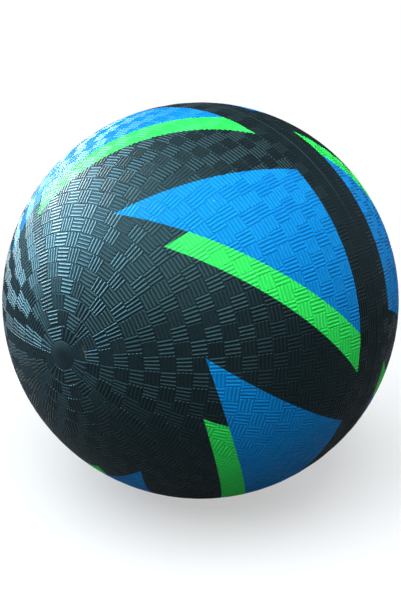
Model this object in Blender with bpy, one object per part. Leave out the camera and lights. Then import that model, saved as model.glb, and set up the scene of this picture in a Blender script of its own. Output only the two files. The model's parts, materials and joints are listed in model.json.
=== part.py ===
"""Light-up street soccer ball, size 5: rubber cover with let-in blades, and a pull-out light unit.

Frame: metres, +Z up, origin at the ball's centre. The mould axis is Y: the front pole is at -Y, and the
light unit's port is at the rear pole, +Y. The inflation valve is at -X, in the plain band.
"""
import math

import bmesh
import bpy
from mathutils import Matrix, Vector

# Ball
BALL_DIAMETER = 0.2200
COVER_WALL = 0.0014
CARCASS_WALL = 0.0006
BLADDER_WALL = 0.0006
FIT_GAP = 0.0003

# Facets of the ball's layers: columns round the mould axis, rows from pole to port
COLUMNS = 48
FRONT_ROWS = 10
REAR_ROWS = 9

# Blades, in degrees on the ball: (polar angle from the pole, turn from the blade's tip)
BLADES = 5
FRONT_TURN = 12.1
REAR_AXIS_TURN = 61.8
BAND_HALF_ANGLE = 8.0
BLADE_TIP_POLAR = 38.3
TOP_BOW = (59.5, 17.3)
TOP_CORNER_TURN = 27.8
EDGE_BOW = (56.0, 44.8)
EDGE_CORNER_TURN = 74.2
BAR_TIP = (39.5, 26.2)
BAR_SHOULDER = (45.8, 27.3)
BAR_BOW = (55.5, 55.2)
BAR_CORNER_TURN = 84.8

# Inflation valve
VALVE_NECK_RADIUS = 0.0060
VALVE_LENGTH = 0.0220
VALVE_FLANGE_RADIUS = 0.0120
VALVE_FLANGE_WALL = 0.0012
VALVE_STEM_RADIUS = 0.0048
VALVE_BORE_RADIUS = 0.0025
NEEDLE_HOLE_RADIUS = 0.0006
NEEDLE_HOLE_DEPTH = 0.0120

# Light unit: plug, cap and lens share one axis, round the button cells and their tray
SLIDE_CLEARANCE = 0.0005
POCKET_WALL = 0.0015
POCKET_FLANGE_WIDTH = 0.0080
POCKET_END_ROOM = 0.0010
PLUG_LEDGE = 0.0016
PLUG_HEIGHT = 0.0095
GRIP_RADIUS = 0.0095
GRIP_DEPTH = 0.0050
GRIP_BAR_WIDTH = 0.0040
GRIP_TURNS = (0.0, 180.0)
STUD_RADIUS = 0.0035
STUD_HEIGHT = 0.0020
CAP_PLATE = 0.0030
CAP_SKIRT = 0.0090
CAP_WALL = 0.0015
RING_RADIUS = 0.0007
LENS_WALL = 0.0015
LENS_DOME_HEIGHT = 0.0080
LENS_END_ROOM = 0.0035
LUG_TURNS = (0.0, 180.0)
LUG_ANGLE = 20.0
LUG_HEIGHT = 0.0020
LUG_PROUD = 0.0015
LUG_DEPTH = 0.0038
LUG_SIDE_ROOM = 1.6
LOCK_TURN = 45.0
PULL_OUT_ROOM = 0.0055

# Electrics
CELLS = 3
CELL_RADIUS = 0.0058
CELL_HEIGHT = 0.0054
CELL_EDGE = 0.0003
CELL_CROWN_RADIUS = 0.0048
CELL_CROWN_HEIGHT = 0.0006
TRAY_WALL = 0.0025
TRAY_END_WALL = 0.0020
CONTACT_RADIUS = 0.0046
CONTACT_PLATE = 0.0004
STRAP_PLATE = 0.0003
STRAP_SWEEP = 20.0
MINUS_STRAP_ANGLE = 245.0
PLUS_STRAP_ANGLE = 295.0
BOARD_THICKNESS = 0.0016
LEDS = 3
LED_RADIUS = 0.0015
LED_FLANGE_RADIUS = 0.0018
LED_FLANGE_HEIGHT = 0.0008
LED_HEIGHT = 0.0050
LED_EDGE = 0.0028
LED_START_ANGLE = 90.0
CHIP_SIZE = (0.0050, 0.0040, 0.0015)
CHIP_ANGLE = 270.0
CHIP_EDGE = 0.0032
SCREW_ANGLES = (30.0, 150.0)
SCREW_EDGE = 0.0022
SCREW_RADIUS = 0.0006
SCREW_HEAD_RADIUS = 0.0012
SCREW_HEAD_HEIGHT = 0.0008
PIN_RADIUS = 0.0005
PIN_LENGTH = 0.0090
PIN_FOOT_RADIUS = 0.0010
PIN_FOOT_HEIGHT = 0.0006
SPRING_RADIUS = 0.0020
SPRING_WIRE_RADIUS = 0.0002
SPRING_LENGTH = 0.0080
SPRING_TURNS = 6
SPRING_POINTS_PER_TURN = 8

# Facets of the small pieces: round them, along a lug or strap, round a seal, over domes and the plug's crown
FINE_SIDES = 32
ROUND_SIDES = 24
SMALL_SIDES = 12
WEDGE_STEPS = 6
RING_SIDES = 8
LENS_DOME_STEPS = 5
LED_DOME_STEPS = 3
CROWN_STEPS = 3

# Cutting of the ball's sheet, in ball radii, and the edges that are shaded sharp, in degrees
CUT_TOLERANCE = 0.00001
WELD_DISTANCE = 0.0002
ARC_SAMPLES = 9
NEAR_FACETS = 0.75
SHARP_EDGE = 30.0
SHEET_SHARP_EDGE = 20.0

# Radii that follow from the driving sizes
BALL_RADIUS = BALL_DIAMETER / 2
CARCASS_RADIUS = BALL_RADIUS - COVER_WALL - FIT_GAP
BLADDER_RADIUS = CARCASS_RADIUS - CARCASS_WALL - FIT_GAP
CHAMBER_RADIUS = BLADDER_RADIUS - BLADDER_WALL
TRAY_BORE_RADIUS = CELL_RADIUS + FIT_GAP
TRAY_RADIUS = TRAY_BORE_RADIUS + TRAY_WALL
LENS_NECK_RADIUS = TRAY_RADIUS + SLIDE_CLEARANCE + LENS_WALL
UNIT_RADIUS = LENS_NECK_RADIUS + FIT_GAP + CAP_WALL
LED_CIRCLE = TRAY_RADIUS - LED_EDGE
CHIP_CIRCLE = TRAY_RADIUS - CHIP_EDGE
SCREW_CIRCLE = TRAY_RADIUS - SCREW_EDGE
BORE_RADIUS = UNIT_RADIUS + SLIDE_CLEARANCE
PLUG_RADIUS = BORE_RADIUS + PLUG_LEDGE
MOUTH_RADIUS = PLUG_RADIUS + FIT_GAP
NECK_RADIUS = MOUTH_RADIUS + POCKET_WALL
PORT_ANGLE = math.degrees(math.asin((NECK_RADIUS + FIT_GAP) / CHAMBER_RADIUS))
BLADE_BASE_POLAR = 90.0 - BAND_HALF_ANGLE

# Stations along the light unit's axis, from the cover inwards
PLUG_FOOT = BALL_RADIUS - PLUG_HEIGHT
CAP_TOP = PLUG_FOOT - FIT_GAP
CAP_UNDERSIDE = CAP_TOP - CAP_PLATE
CAP_END = CAP_UNDERSIDE - CAP_SKIRT
RING_CENTRE = CAP_END - FIT_GAP - RING_RADIUS
LENS_SHOULDER = RING_CENTRE - RING_RADIUS - FIT_GAP
LUG_TOP = CAP_UNDERSIDE - LUG_DEPTH
TRAY_TOP = CAP_UNDERSIDE - FIT_GAP
MINUS_TOP = TRAY_TOP - TRAY_END_WALL - FIT_GAP
CELL_PITCH = CELL_HEIGHT + FIT_GAP
FIRST_CELL_TOP = MINUS_TOP - CONTACT_PLATE - FIT_GAP
PLUS_TOP = FIRST_CELL_TOP - CELLS * CELL_PITCH
TRAY_FLOOR = PLUS_TOP - CONTACT_PLATE - FIT_GAP
TRAY_END = TRAY_FLOOR - TRAY_END_WALL
BOARD_TOP = TRAY_END - FIT_GAP
BOARD_END = BOARD_TOP - BOARD_THICKNESS
DEVICE_SEAT = BOARD_END - FIT_GAP
PIN_TIP = DEVICE_SEAT - PIN_LENGTH
LENS_END = PIN_TIP - LENS_END_ROOM - LENS_WALL
LENS_DOME_START = LENS_END + LENS_DOME_HEIGHT
POCKET_FLOOR = LENS_END - POCKET_END_ROOM
PULL_OUT = BALL_RADIUS - LENS_END + PULL_OUT_ROOM


def clear_scene():
    """Remove every object that the file starts with."""
    for thing in list(bpy.data.objects):
        bpy.data.objects.remove(thing, do_unlink=True)


def material(name, color, roughness, metallic=0.0, alpha=1.0):
    """A plain Principled material."""
    made = bpy.data.materials.new(name)
    made.use_nodes = True
    shader = made.node_tree.nodes["Principled BSDF"]
    shader.inputs["Base Color"].default_value = (*color, 1.0)
    shader.inputs["Roughness"].default_value = roughness
    shader.inputs["Metallic"].default_value = metallic
    shader.inputs["Alpha"].default_value = alpha
    return made


def empty(name, turn=(0.0, 0.0, 0.0), place=(0.0, 0.0, 0.0), parent=None):
    """A named axis that pieces hang on; turn is in degrees."""
    axis = bpy.data.objects.new(name, None)
    axis.rotation_euler = [math.radians(angle) for angle in turn]
    axis.location = place
    axis.parent = parent
    bpy.context.scene.collection.objects.link(axis)
    return axis


def node(name, mesh_data, finish, parent, place=(0.0, 0.0, 0.0)):
    """One named piece, hung on its axis."""
    piece = bpy.data.objects.new(name, mesh_data)
    piece.location = place
    piece.parent = parent
    mesh_data.materials.append(finish)
    bpy.context.scene.collection.objects.link(piece)
    return piece


def finished_mesh(name, bm, sharp_angle=SHARP_EDGE):
    """Turn a bmesh into mesh data with outward faces and smooth shading."""
    bmesh.ops.recalc_face_normals(bm, faces=bm.faces)
    made = bpy.data.meshes.new(name)
    bm.to_mesh(made)
    bm.free()
    made.shade_smooth()
    made.set_sharp_from_angle(angle=math.radians(sharp_angle))
    return made


def cut(piece, cutter, operation="DIFFERENCE"):
    """Cut a piece with a hidden cutter, or weld the cutter's shape on."""
    cutter.hide_render = True
    cutter.display_type = "WIRE"
    step = piece.modifiers.new(operation.lower(), "BOOLEAN")
    step.operation = operation
    step.solver = "EXACT"
    step.object = cutter


# Turned pieces

def turned(name, profile, sides, start=0.0, sweep=360.0):
    """Turn a profile of (radius, height) points about Z.

    A profile that begins and ends on the axis makes a solid; any other is a closed loop. A sweep of less
    than a full turn is closed with the profile's own face at both ends.
    """
    bm = bmesh.new()
    whole = sweep >= 360.0
    stations = sides if whole else sides + 1
    on_axis = [radius == 0.0 for radius, _ in profile]
    centre = [bm.verts.new((0.0, 0.0, height)) if axial else None
              for axial, (_, height) in zip(on_axis, profile)]
    rings = []
    for station in range(stations):
        angle = math.radians(start + sweep * station / sides)
        ring = []
        for axial, middle, (radius, height) in zip(on_axis, centre, profile):
            point = (radius * math.cos(angle), radius * math.sin(angle), height)
            ring.append(middle if axial else bm.verts.new(point))
        rings.append(ring)
    count = len(profile)
    spans = count - 1 if on_axis[0] and on_axis[-1] and whole else count
    for station in range(sides):
        here = rings[station]
        ahead = rings[(station + 1) % stations]
        for index in range(spans):
            after = (index + 1) % count
            corners = []
            for corner in (here[index], ahead[index], ahead[after], here[after]):
                if corner not in corners:
                    corners.append(corner)
            if len(corners) > 2:
                bm.faces.new(corners)
    if not whole:
        bm.faces.new(rings[0])
        bm.faces.new(rings[-1])
    return finished_mesh(name, bm)


def sphere_height(radius, ball_radius=BALL_RADIUS):
    """Height of a sphere's surface over a point at this distance from its axis."""
    return math.sqrt(ball_radius ** 2 - radius ** 2)


def dome(radius, height, foot, steps):
    """Profile points of a dome that points down: from its rim, at foot, to its tip on the axis."""
    points = []
    for step in range(steps + 1):
        angle = 0.5 * math.pi * step / steps
        reach = 0.0 if step == steps else radius * math.cos(angle)
        points.append((reach, foot - height * math.sin(angle)))
    return points


def wedge(name, profile, middle, width, axis):
    """A closed profile swept through part of a turn, to cut a piece or be welded on; angles in degrees."""
    shape = turned(name, profile, WEDGE_STEPS, middle - width / 2, width)
    block = bpy.data.objects.new(name, shape)
    block.parent = axis
    bpy.context.scene.collection.objects.link(block)
    return block


def sector(name, inner, outer, low, high, middle, width, axis):
    """A block between two radii and two heights, for lugs and their slots."""
    profile = [(inner, low), (outer, low), (outer, high), (inner, high)]
    return wedge(name, profile, middle, width, axis)


# The ball's layers, all cut from one faceted sheet

def ball_point(polar, turn):
    """Unit direction at a polar angle from the front pole and a turn round the mould axis."""
    polar = math.radians(polar)
    turn = math.radians(turn)
    return Vector((math.sin(polar) * math.sin(turn), -math.sin(polar) * math.cos(turn), -math.cos(polar)))


def row_angles():
    """Polar angles of the sheet's rows: front half, equator, the rear blades' base, and on to the port."""
    def steps(low, high, count):
        return [low + (high - low) * (step + 1) / count for step in range(count)]
    rear_base = 180.0 - BLADE_BASE_POLAR
    front = steps(0.0, BLADE_BASE_POLAR, FRONT_ROWS)
    rear = steps(rear_base, 180.0 - PORT_ANGLE, REAR_ROWS)
    return [*front, 90.0, rear_base, *rear]


def ball_sheet():
    """The ball's surface at unit radius, open at the port."""
    bm = bmesh.new()
    pole = bm.verts.new(ball_point(0.0, 0.0))
    turns = [360.0 * column / COLUMNS for column in range(COLUMNS)]
    rows = [[bm.verts.new(ball_point(polar, turn)) for turn in turns] for polar in row_angles()]
    for column in range(COLUMNS):
        after = (column + 1) % COLUMNS
        bm.faces.new((pole, rows[0][column], rows[0][after]))
        for upper, lower in zip(rows, rows[1:]):
            bm.faces.new((upper[column], lower[column], lower[after], upper[after]))
    bm.normal_update()
    return bm


def thickened(name, sheet, radius, wall):
    """Give a unit sheet its radius and a wall that runs straight towards the ball's centre."""
    bmesh.ops.remove_doubles(sheet, verts=sheet.verts, dist=WELD_DISTANCE)
    outer_faces = list(sheet.faces)
    rim = [edge for edge in sheet.edges if len(edge.link_faces) == 1]
    inner = {}
    for vert in list(sheet.verts):
        inner[vert] = sheet.verts.new(vert.co * (radius - wall))
        vert.co *= radius
    for face in outer_faces:
        sheet.faces.new([inner[vert] for vert in reversed(face.verts)])
    for edge in rim:
        first, second = edge.verts
        sheet.faces.new((first, second, inner[second], inner[first]))
    return finished_mesh(name, sheet, SHEET_SHARP_EDGE)


def plane_through(first, second, third, inside):
    """Plane through three directions as (normal, offset), with the inside direction on its positive side."""
    normal = (second - first).cross(third - first).normalized()
    offset = normal.dot(first)
    if normal.dot(inside) < offset:
        return -normal, -offset
    return normal, offset


def inset(plane, gap):
    """Move a plane's cut along the ball by a gap towards its positive side."""
    normal, offset = plane
    return normal, offset + gap / BALL_RADIUS * math.sqrt(1.0 - offset ** 2)


def flipped(plane):
    """The same cut, seen from its other side."""
    normal, offset = plane
    return -normal, -offset


def turned_over(direction):
    """Half a turn about the equator's axis that carries the front half's blades to the rear half."""
    axis = ball_point(90.0, REAR_AXIS_TURN)
    return 2.0 * axis.dot(direction) * axis - direction


def blade_lines(number, rear):
    """The planes that bound one blade, and the arcs along which the cover is cut for it."""
    start = FRONT_TURN + 360.0 / BLADES * number

    def place(polar, turn):
        direction = ball_point(polar, start + turn)
        return turned_over(direction) if rear else direction

    tip = place(BLADE_TIP_POLAR, 0.0)
    top_bow = place(*TOP_BOW)
    top_corner = place(BLADE_BASE_POLAR, TOP_CORNER_TURN)
    edge_bow = place(*EDGE_BOW)
    edge_corner = place(BLADE_BASE_POLAR, EDGE_CORNER_TURN)
    bar_tip = place(*BAR_TIP)
    bar_shoulder = place(*BAR_SHOULDER)
    bar_bow = place(*BAR_BOW)
    bar_corner = place(BLADE_BASE_POLAR, BAR_CORNER_TURN)
    pole = place(0.0, 0.0)
    centre = Vector((0.0, 0.0, 0.0))
    planes = {
        "top": plane_through(tip, top_bow, top_corner, edge_corner),
        "edge": plane_through(tip, edge_bow, edge_corner, top_corner),
        "bar": plane_through(bar_tip, bar_bow, bar_corner, edge_corner),
        "end": plane_through(bar_tip, bar_shoulder, centre, bar_corner),
        "base": (pole, math.cos(math.radians(BLADE_BASE_POLAR))),
    }
    arcs = [
        ("top", (tip, top_bow, top_corner)),
        ("edge", (tip, bar_shoulder)),
        ("end", (bar_shoulder, bar_tip)),
        ("bar", (bar_tip, bar_bow, bar_corner)),
    ]
    return planes, arcs


def near_arc(face, corners, reach):
    """True where a face lies within reach of the arc through these directions."""
    middle = face.calc_center_median().normalized()
    for first, second in zip(corners, corners[1:]):
        for sample in range(ARC_SAMPLES):
            point = first.lerp(second, sample / (ARC_SAMPLES - 1)).normalized()
            if middle.angle(point) < reach:
                return True
    return False


def cut_sheet(sheet, plane, faces=None, keep_positive=False):
    """Cut a sheet along a plane, on some faces or on all, and drop its negative side if asked."""
    normal, offset = plane
    chosen = list(sheet.faces) if faces is None else faces
    edges = {edge for face in chosen for edge in face.edges}
    verts = {vert for face in chosen for vert in face.verts}
    bmesh.ops.bisect_plane(sheet, geom=[*verts, *edges, *chosen], dist=CUT_TOLERANCE,
                           plane_co=normal * offset, plane_no=normal, clear_inner=keep_positive)


def inside_all(direction, planes):
    """True where a direction is on the positive side of every plane."""
    return all(normal.dot(direction) > offset for normal, offset in planes)


def panel_planes(planes, color):
    """The planes of a blade's blue or green piece, each set in from the cover by the fit gap."""
    if color == "blue":
        return [inset(planes[line], FIT_GAP) for line in ("top", "edge", "base")]
    outer = [inset(planes[line], FIT_GAP) for line in ("bar", "end", "base")]
    return outer + [flipped(planes["edge"])]


def cover_sheet():
    """The ball's sheet with a window for every blade."""
    sheet = ball_sheet()
    reach = NEAR_FACETS * math.radians(math.hypot(360.0 / COLUMNS, BLADE_BASE_POLAR / FRONT_ROWS))
    windows = []
    for rear in (False, True):
        for number in range(BLADES):
            planes, arcs = blade_lines(number, rear)
            for line, corners in arcs:
                faces = [face for face in sheet.faces if near_arc(face, corners, reach)]
                cut_sheet(sheet, planes[line], faces)
            windows.append([planes[line] for line in ("top", "edge", "base")])
            windows.append([planes["bar"], planes["end"], planes["base"], flipped(planes["edge"])])
    dropped = []
    for face in sheet.faces:
        middle = face.calc_center_median().normalized()
        if any(inside_all(middle, window) for window in windows):
            dropped.append(face)
    bmesh.ops.delete(sheet, geom=dropped, context="FACES")
    return sheet


def panel_sheet(planes):
    """The part of the ball's sheet that lies inside all of these planes."""
    sheet = ball_sheet()
    for plane in planes:
        cut_sheet(sheet, plane, keep_positive=True)
    return sheet


def build_ball(axis, valve_axis):
    """Cover, blades, carcass and bladder, with one hole through the layers for the valve."""
    black = material("black_rubber", (0.012, 0.014, 0.016), 0.45)
    blue = material("blue_rubber", (0.010, 0.230, 0.850), 0.40)
    green = material("green_rubber", (0.030, 0.850, 0.090), 0.40)
    thread = material("nylon_thread", (0.620, 0.600, 0.540), 0.80)
    latex = material("latex_rubber", (0.720, 0.560, 0.340), 0.55)

    hole = bpy.data.objects.new("valve_hole", turned(
        "valve_hole",
        [(0.0, BALL_RADIUS + FIT_GAP),
         (VALVE_NECK_RADIUS + FIT_GAP, BALL_RADIUS + FIT_GAP),
         (VALVE_NECK_RADIUS + FIT_GAP, CHAMBER_RADIUS - VALVE_LENGTH),
         (0.0, CHAMBER_RADIUS - VALVE_LENGTH)],
        ROUND_SIDES))
    hole.parent = valve_axis
    bpy.context.scene.collection.objects.link(hole)

    layers = (
        ("cover_shell", cover_sheet(), BALL_RADIUS, COVER_WALL, black),
        ("carcass_layer", ball_sheet(), CARCASS_RADIUS, CARCASS_WALL, thread),
        ("air_bladder", ball_sheet(), BLADDER_RADIUS, BLADDER_WALL, latex),
    )
    for name, sheet, radius, wall, finish in layers:
        layer = node(name, thickened(name, sheet, radius, wall), finish, axis)
        cut(layer, hole)

    for half in ("front", "rear"):
        for number in range(BLADES):
            planes, _ = blade_lines(number, half == "rear")
            for color, word, finish in (("blue", "blade", blue), ("green", "bar", green)):
                name = f"{color}_{word}_{half}_{number + 1}"
                sheet = panel_sheet(panel_planes(planes, color))
                node(name, thickened(name, sheet, BALL_RADIUS, COVER_WALL), finish, axis)


def facet_sag(radius):
    """How far the middle of a facet lies inside the true ball."""
    half_column = math.pi / COLUMNS
    half_row = math.radians(BLADE_BASE_POLAR / FRONT_ROWS) / 2
    return radius * (1.0 - math.cos(half_column) * math.cos(half_row))


def build_valve(axis):
    """Rubber valve: a housing bonded into the bladder, and a soft core that the pump needle goes through."""
    housing_rubber = material("valve_rubber", (0.030, 0.030, 0.032), 0.55)
    core_rubber = material("soft_rubber", (0.110, 0.100, 0.090), 0.60)
    inner_end = BALL_RADIUS - VALVE_LENGTH

    def seat(radius):
        return sphere_height(radius, CHAMBER_RADIUS) - facet_sag(CHAMBER_RADIUS) - FIT_GAP

    rim = seat(VALVE_FLANGE_RADIUS)
    housing = [
        (VALVE_BORE_RADIUS, inner_end),
        (VALVE_STEM_RADIUS, inner_end),
        (VALVE_STEM_RADIUS, rim - VALVE_FLANGE_WALL),
        (VALVE_FLANGE_RADIUS, rim - VALVE_FLANGE_WALL),
        (VALVE_FLANGE_RADIUS, rim),
        (VALVE_NECK_RADIUS, seat(VALVE_NECK_RADIUS)),
        (VALVE_NECK_RADIUS, sphere_height(VALVE_NECK_RADIUS)),
        (VALVE_BORE_RADIUS, sphere_height(VALVE_BORE_RADIUS)),
    ]
    node("valve_housing", turned("valve_housing", housing, ROUND_SIDES), housing_rubber, axis)

    core_radius = VALVE_BORE_RADIUS - FIT_GAP
    core_top = BALL_RADIUS - COVER_WALL
    core = [
        (0.0, inner_end + FIT_GAP),
        (core_radius, inner_end + FIT_GAP),
        (core_radius, core_top),
        (NEEDLE_HOLE_RADIUS, core_top - NEEDLE_HOLE_RADIUS),
        (NEEDLE_HOLE_RADIUS, core_top - NEEDLE_HOLE_DEPTH),
        (0.0, core_top - NEEDLE_HOLE_DEPTH),
    ]
    node("valve_core", turned("valve_core", core, SMALL_SIDES), core_rubber, axis)


def build_pocket(axis):
    """Clear rubber pocket: it keeps the air in and guides the light unit."""
    clear_rubber = material("clear_rubber", (0.780, 0.800, 0.790), 0.35, alpha=0.6)
    last, port = row_angles()[-2:]
    edge = math.radians(180.0 - port)
    next_row = math.radians(180.0 - last)
    seat_radius = CHAMBER_RADIUS - FIT_GAP
    top = Vector((math.sin(edge), math.cos(edge))) * seat_radius
    bottom = Vector((math.sin(next_row), math.cos(next_row))) * seat_radius

    def seat(radius):
        return top.lerp(bottom, (radius - top.x) / (bottom.x - top.x)).y

    tube_radius = BORE_RADIUS + POCKET_WALL
    flange_radius = NECK_RADIUS + POCKET_FLANGE_WIDTH
    ledge = PLUG_FOOT - FIT_GAP
    profile = [
        (0.0, POCKET_FLOOR - POCKET_WALL),
        (tube_radius - POCKET_WALL, POCKET_FLOOR - POCKET_WALL),
        (tube_radius, POCKET_FLOOR),
        (tube_radius, seat(flange_radius) - 2 * POCKET_WALL),
        (flange_radius, seat(flange_radius) - POCKET_WALL),
        (flange_radius, seat(flange_radius)),
        (NECK_RADIUS, seat(NECK_RADIUS)),
        (NECK_RADIUS, sphere_height(NECK_RADIUS)),
        (MOUTH_RADIUS, sphere_height(MOUTH_RADIUS)),
        (MOUTH_RADIUS, ledge),
        (BORE_RADIUS, ledge),
        (BORE_RADIUS, POCKET_FLOOR),
        (0.0, POCKET_FLOOR),
    ]
    node("light_pocket", turned("light_pocket", profile, COLUMNS), clear_rubber, axis)


def build_plug(axis):
    """Rubber plug, flush with the cover, with a bar between two finger pockets to pull the unit by."""
    plug_rubber = material("plug_rubber", (0.014, 0.015, 0.017), 0.50)
    socket = STUD_RADIUS + FIT_GAP
    socket_roof = PLUG_FOOT + STUD_HEIGHT
    rings = [PLUG_RADIUS * (step + 1) / CROWN_STEPS for step in range(CROWN_STEPS)]
    crown = [(radius, sphere_height(radius)) for radius in rings]
    outline = [
        (0.0, BALL_RADIUS),
        *crown,
        (PLUG_RADIUS, PLUG_FOOT),
        (socket, PLUG_FOOT),
        (socket, socket_roof),
        (0.0, socket_roof),
    ]
    plug = node("port_plug", turned("port_plug", outline, FINE_SIDES), plug_rubber, axis)
    reach = math.degrees(math.acos(GRIP_BAR_WIDTH / 2 / GRIP_RADIUS))
    for number, middle in enumerate(GRIP_TURNS):
        bm = bmesh.new()
        ring = []
        for step in range(SMALL_SIDES + 1):
            turn = math.radians(middle - reach + 2 * reach * step / SMALL_SIDES)
            ring.append((GRIP_RADIUS * math.cos(turn), GRIP_RADIUS * math.sin(turn)))
        floor = [bm.verts.new((x, y, BALL_RADIUS - GRIP_DEPTH)) for x, y in ring]
        roof = [bm.verts.new((x, y, BALL_RADIUS + FIT_GAP)) for x, y in ring]
        bm.faces.new(floor)
        bm.faces.new(roof)
        for index in range(len(ring)):
            after = (index + 1) % len(ring)
            bm.faces.new((floor[index], floor[after], roof[after], roof[index]))
        name = f"grip_pocket_{number + 1}"
        pocket = bpy.data.objects.new(name, finished_mesh(name, bm))
        pocket.parent = axis
        bpy.context.scene.collection.objects.link(pocket)
        cut(plug, pocket)


def build_cap(axis):
    """Plastic cap of the light unit: a stud that holds the plug, and a skirt with two bayonet slots."""
    black_plastic = material("black_plastic", (0.020, 0.020, 0.022), 0.40)
    skirt_bore = UNIT_RADIUS - CAP_WALL
    profile = [
        (0.0, CAP_TOP + STUD_HEIGHT),
        (STUD_RADIUS, CAP_TOP + STUD_HEIGHT),
        (STUD_RADIUS, CAP_TOP),
        (UNIT_RADIUS, CAP_TOP),
        (UNIT_RADIUS, CAP_END),
        (skirt_bore, CAP_END),
        (skirt_bore, CAP_UNDERSIDE),
        (0.0, CAP_UNDERSIDE),
    ]
    cap = node("unit_cap", turned("unit_cap", profile, FINE_SIDES), black_plastic, axis)
    low = LUG_TOP - LUG_HEIGHT - FIT_GAP
    high = LUG_TOP + FIT_GAP
    inner = skirt_bore - FIT_GAP
    outer = UNIT_RADIUS + FIT_GAP
    channel = LUG_ANGLE + 2 * LUG_SIDE_ROOM
    for number, at in enumerate(LUG_TURNS):
        track = sector(f"lug_track_{number + 1}", inner, outer, low, high, at + LOCK_TURN / 2,
                       LOCK_TURN + channel, axis)
        entry = sector(f"lug_entry_{number + 1}", inner, outer, CAP_END - FIT_GAP, (low + high) / 2,
                       at + LOCK_TURN, channel, axis)
        cut(cap, track)
        cut(cap, entry)

    seal_rubber = material("seal_rubber", (0.250, 0.040, 0.030), 0.50)
    middle = LENS_NECK_RADIUS + FIT_GAP + RING_RADIUS
    ring = []
    for step in range(RING_SIDES):
        angle = 2 * math.pi * step / RING_SIDES
        ring.append((middle + RING_RADIUS * math.cos(angle), RING_CENTRE + RING_RADIUS * math.sin(angle)))
    node("seal_ring", turned("seal_ring", ring, ROUND_SIDES), seal_rubber, axis)


def build_lens(axis):
    """Clear domed capsule with two lugs on its neck."""
    clear_plastic = material("clear_polycarbonate", (0.900, 0.930, 0.940), 0.10, alpha=0.35)
    bore = UNIT_RADIUS - LENS_WALL
    neck_bore = LENS_NECK_RADIUS - LENS_WALL
    neck_top = CAP_UNDERSIDE - FIT_GAP
    outside = dome(UNIT_RADIUS, LENS_DOME_HEIGHT, LENS_DOME_START, LENS_DOME_STEPS)
    inside = dome(bore, LENS_DOME_HEIGHT - LENS_WALL, LENS_DOME_START, LENS_DOME_STEPS)
    profile = [
        *reversed(outside),
        (UNIT_RADIUS, LENS_SHOULDER),
        (LENS_NECK_RADIUS, LENS_SHOULDER),
        (LENS_NECK_RADIUS, neck_top),
        (neck_bore, neck_top),
        (neck_bore, LENS_SHOULDER),
        (bore, LENS_SHOULDER - LENS_WALL),
        *inside,
    ]
    lens = node("light_lens", turned("light_lens", profile, FINE_SIDES), clear_plastic, axis)
    root = LENS_NECK_RADIUS - LENS_WALL / 2
    for number, at in enumerate(LUG_TURNS):
        lug = sector(f"lens_lug_{number + 1}", root, LENS_NECK_RADIUS + LUG_PROUD, LUG_TOP - LUG_HEIGHT,
                     LUG_TOP, at, LUG_ANGLE, axis)
        cut(lens, lug, "UNION")


def screw_places():
    """Places of the board's screws, across the unit's axis."""
    for angle in SCREW_ANGLES:
        turn = math.radians(angle)
        yield SCREW_CIRCLE * math.cos(turn), SCREW_CIRCLE * math.sin(turn)


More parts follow.
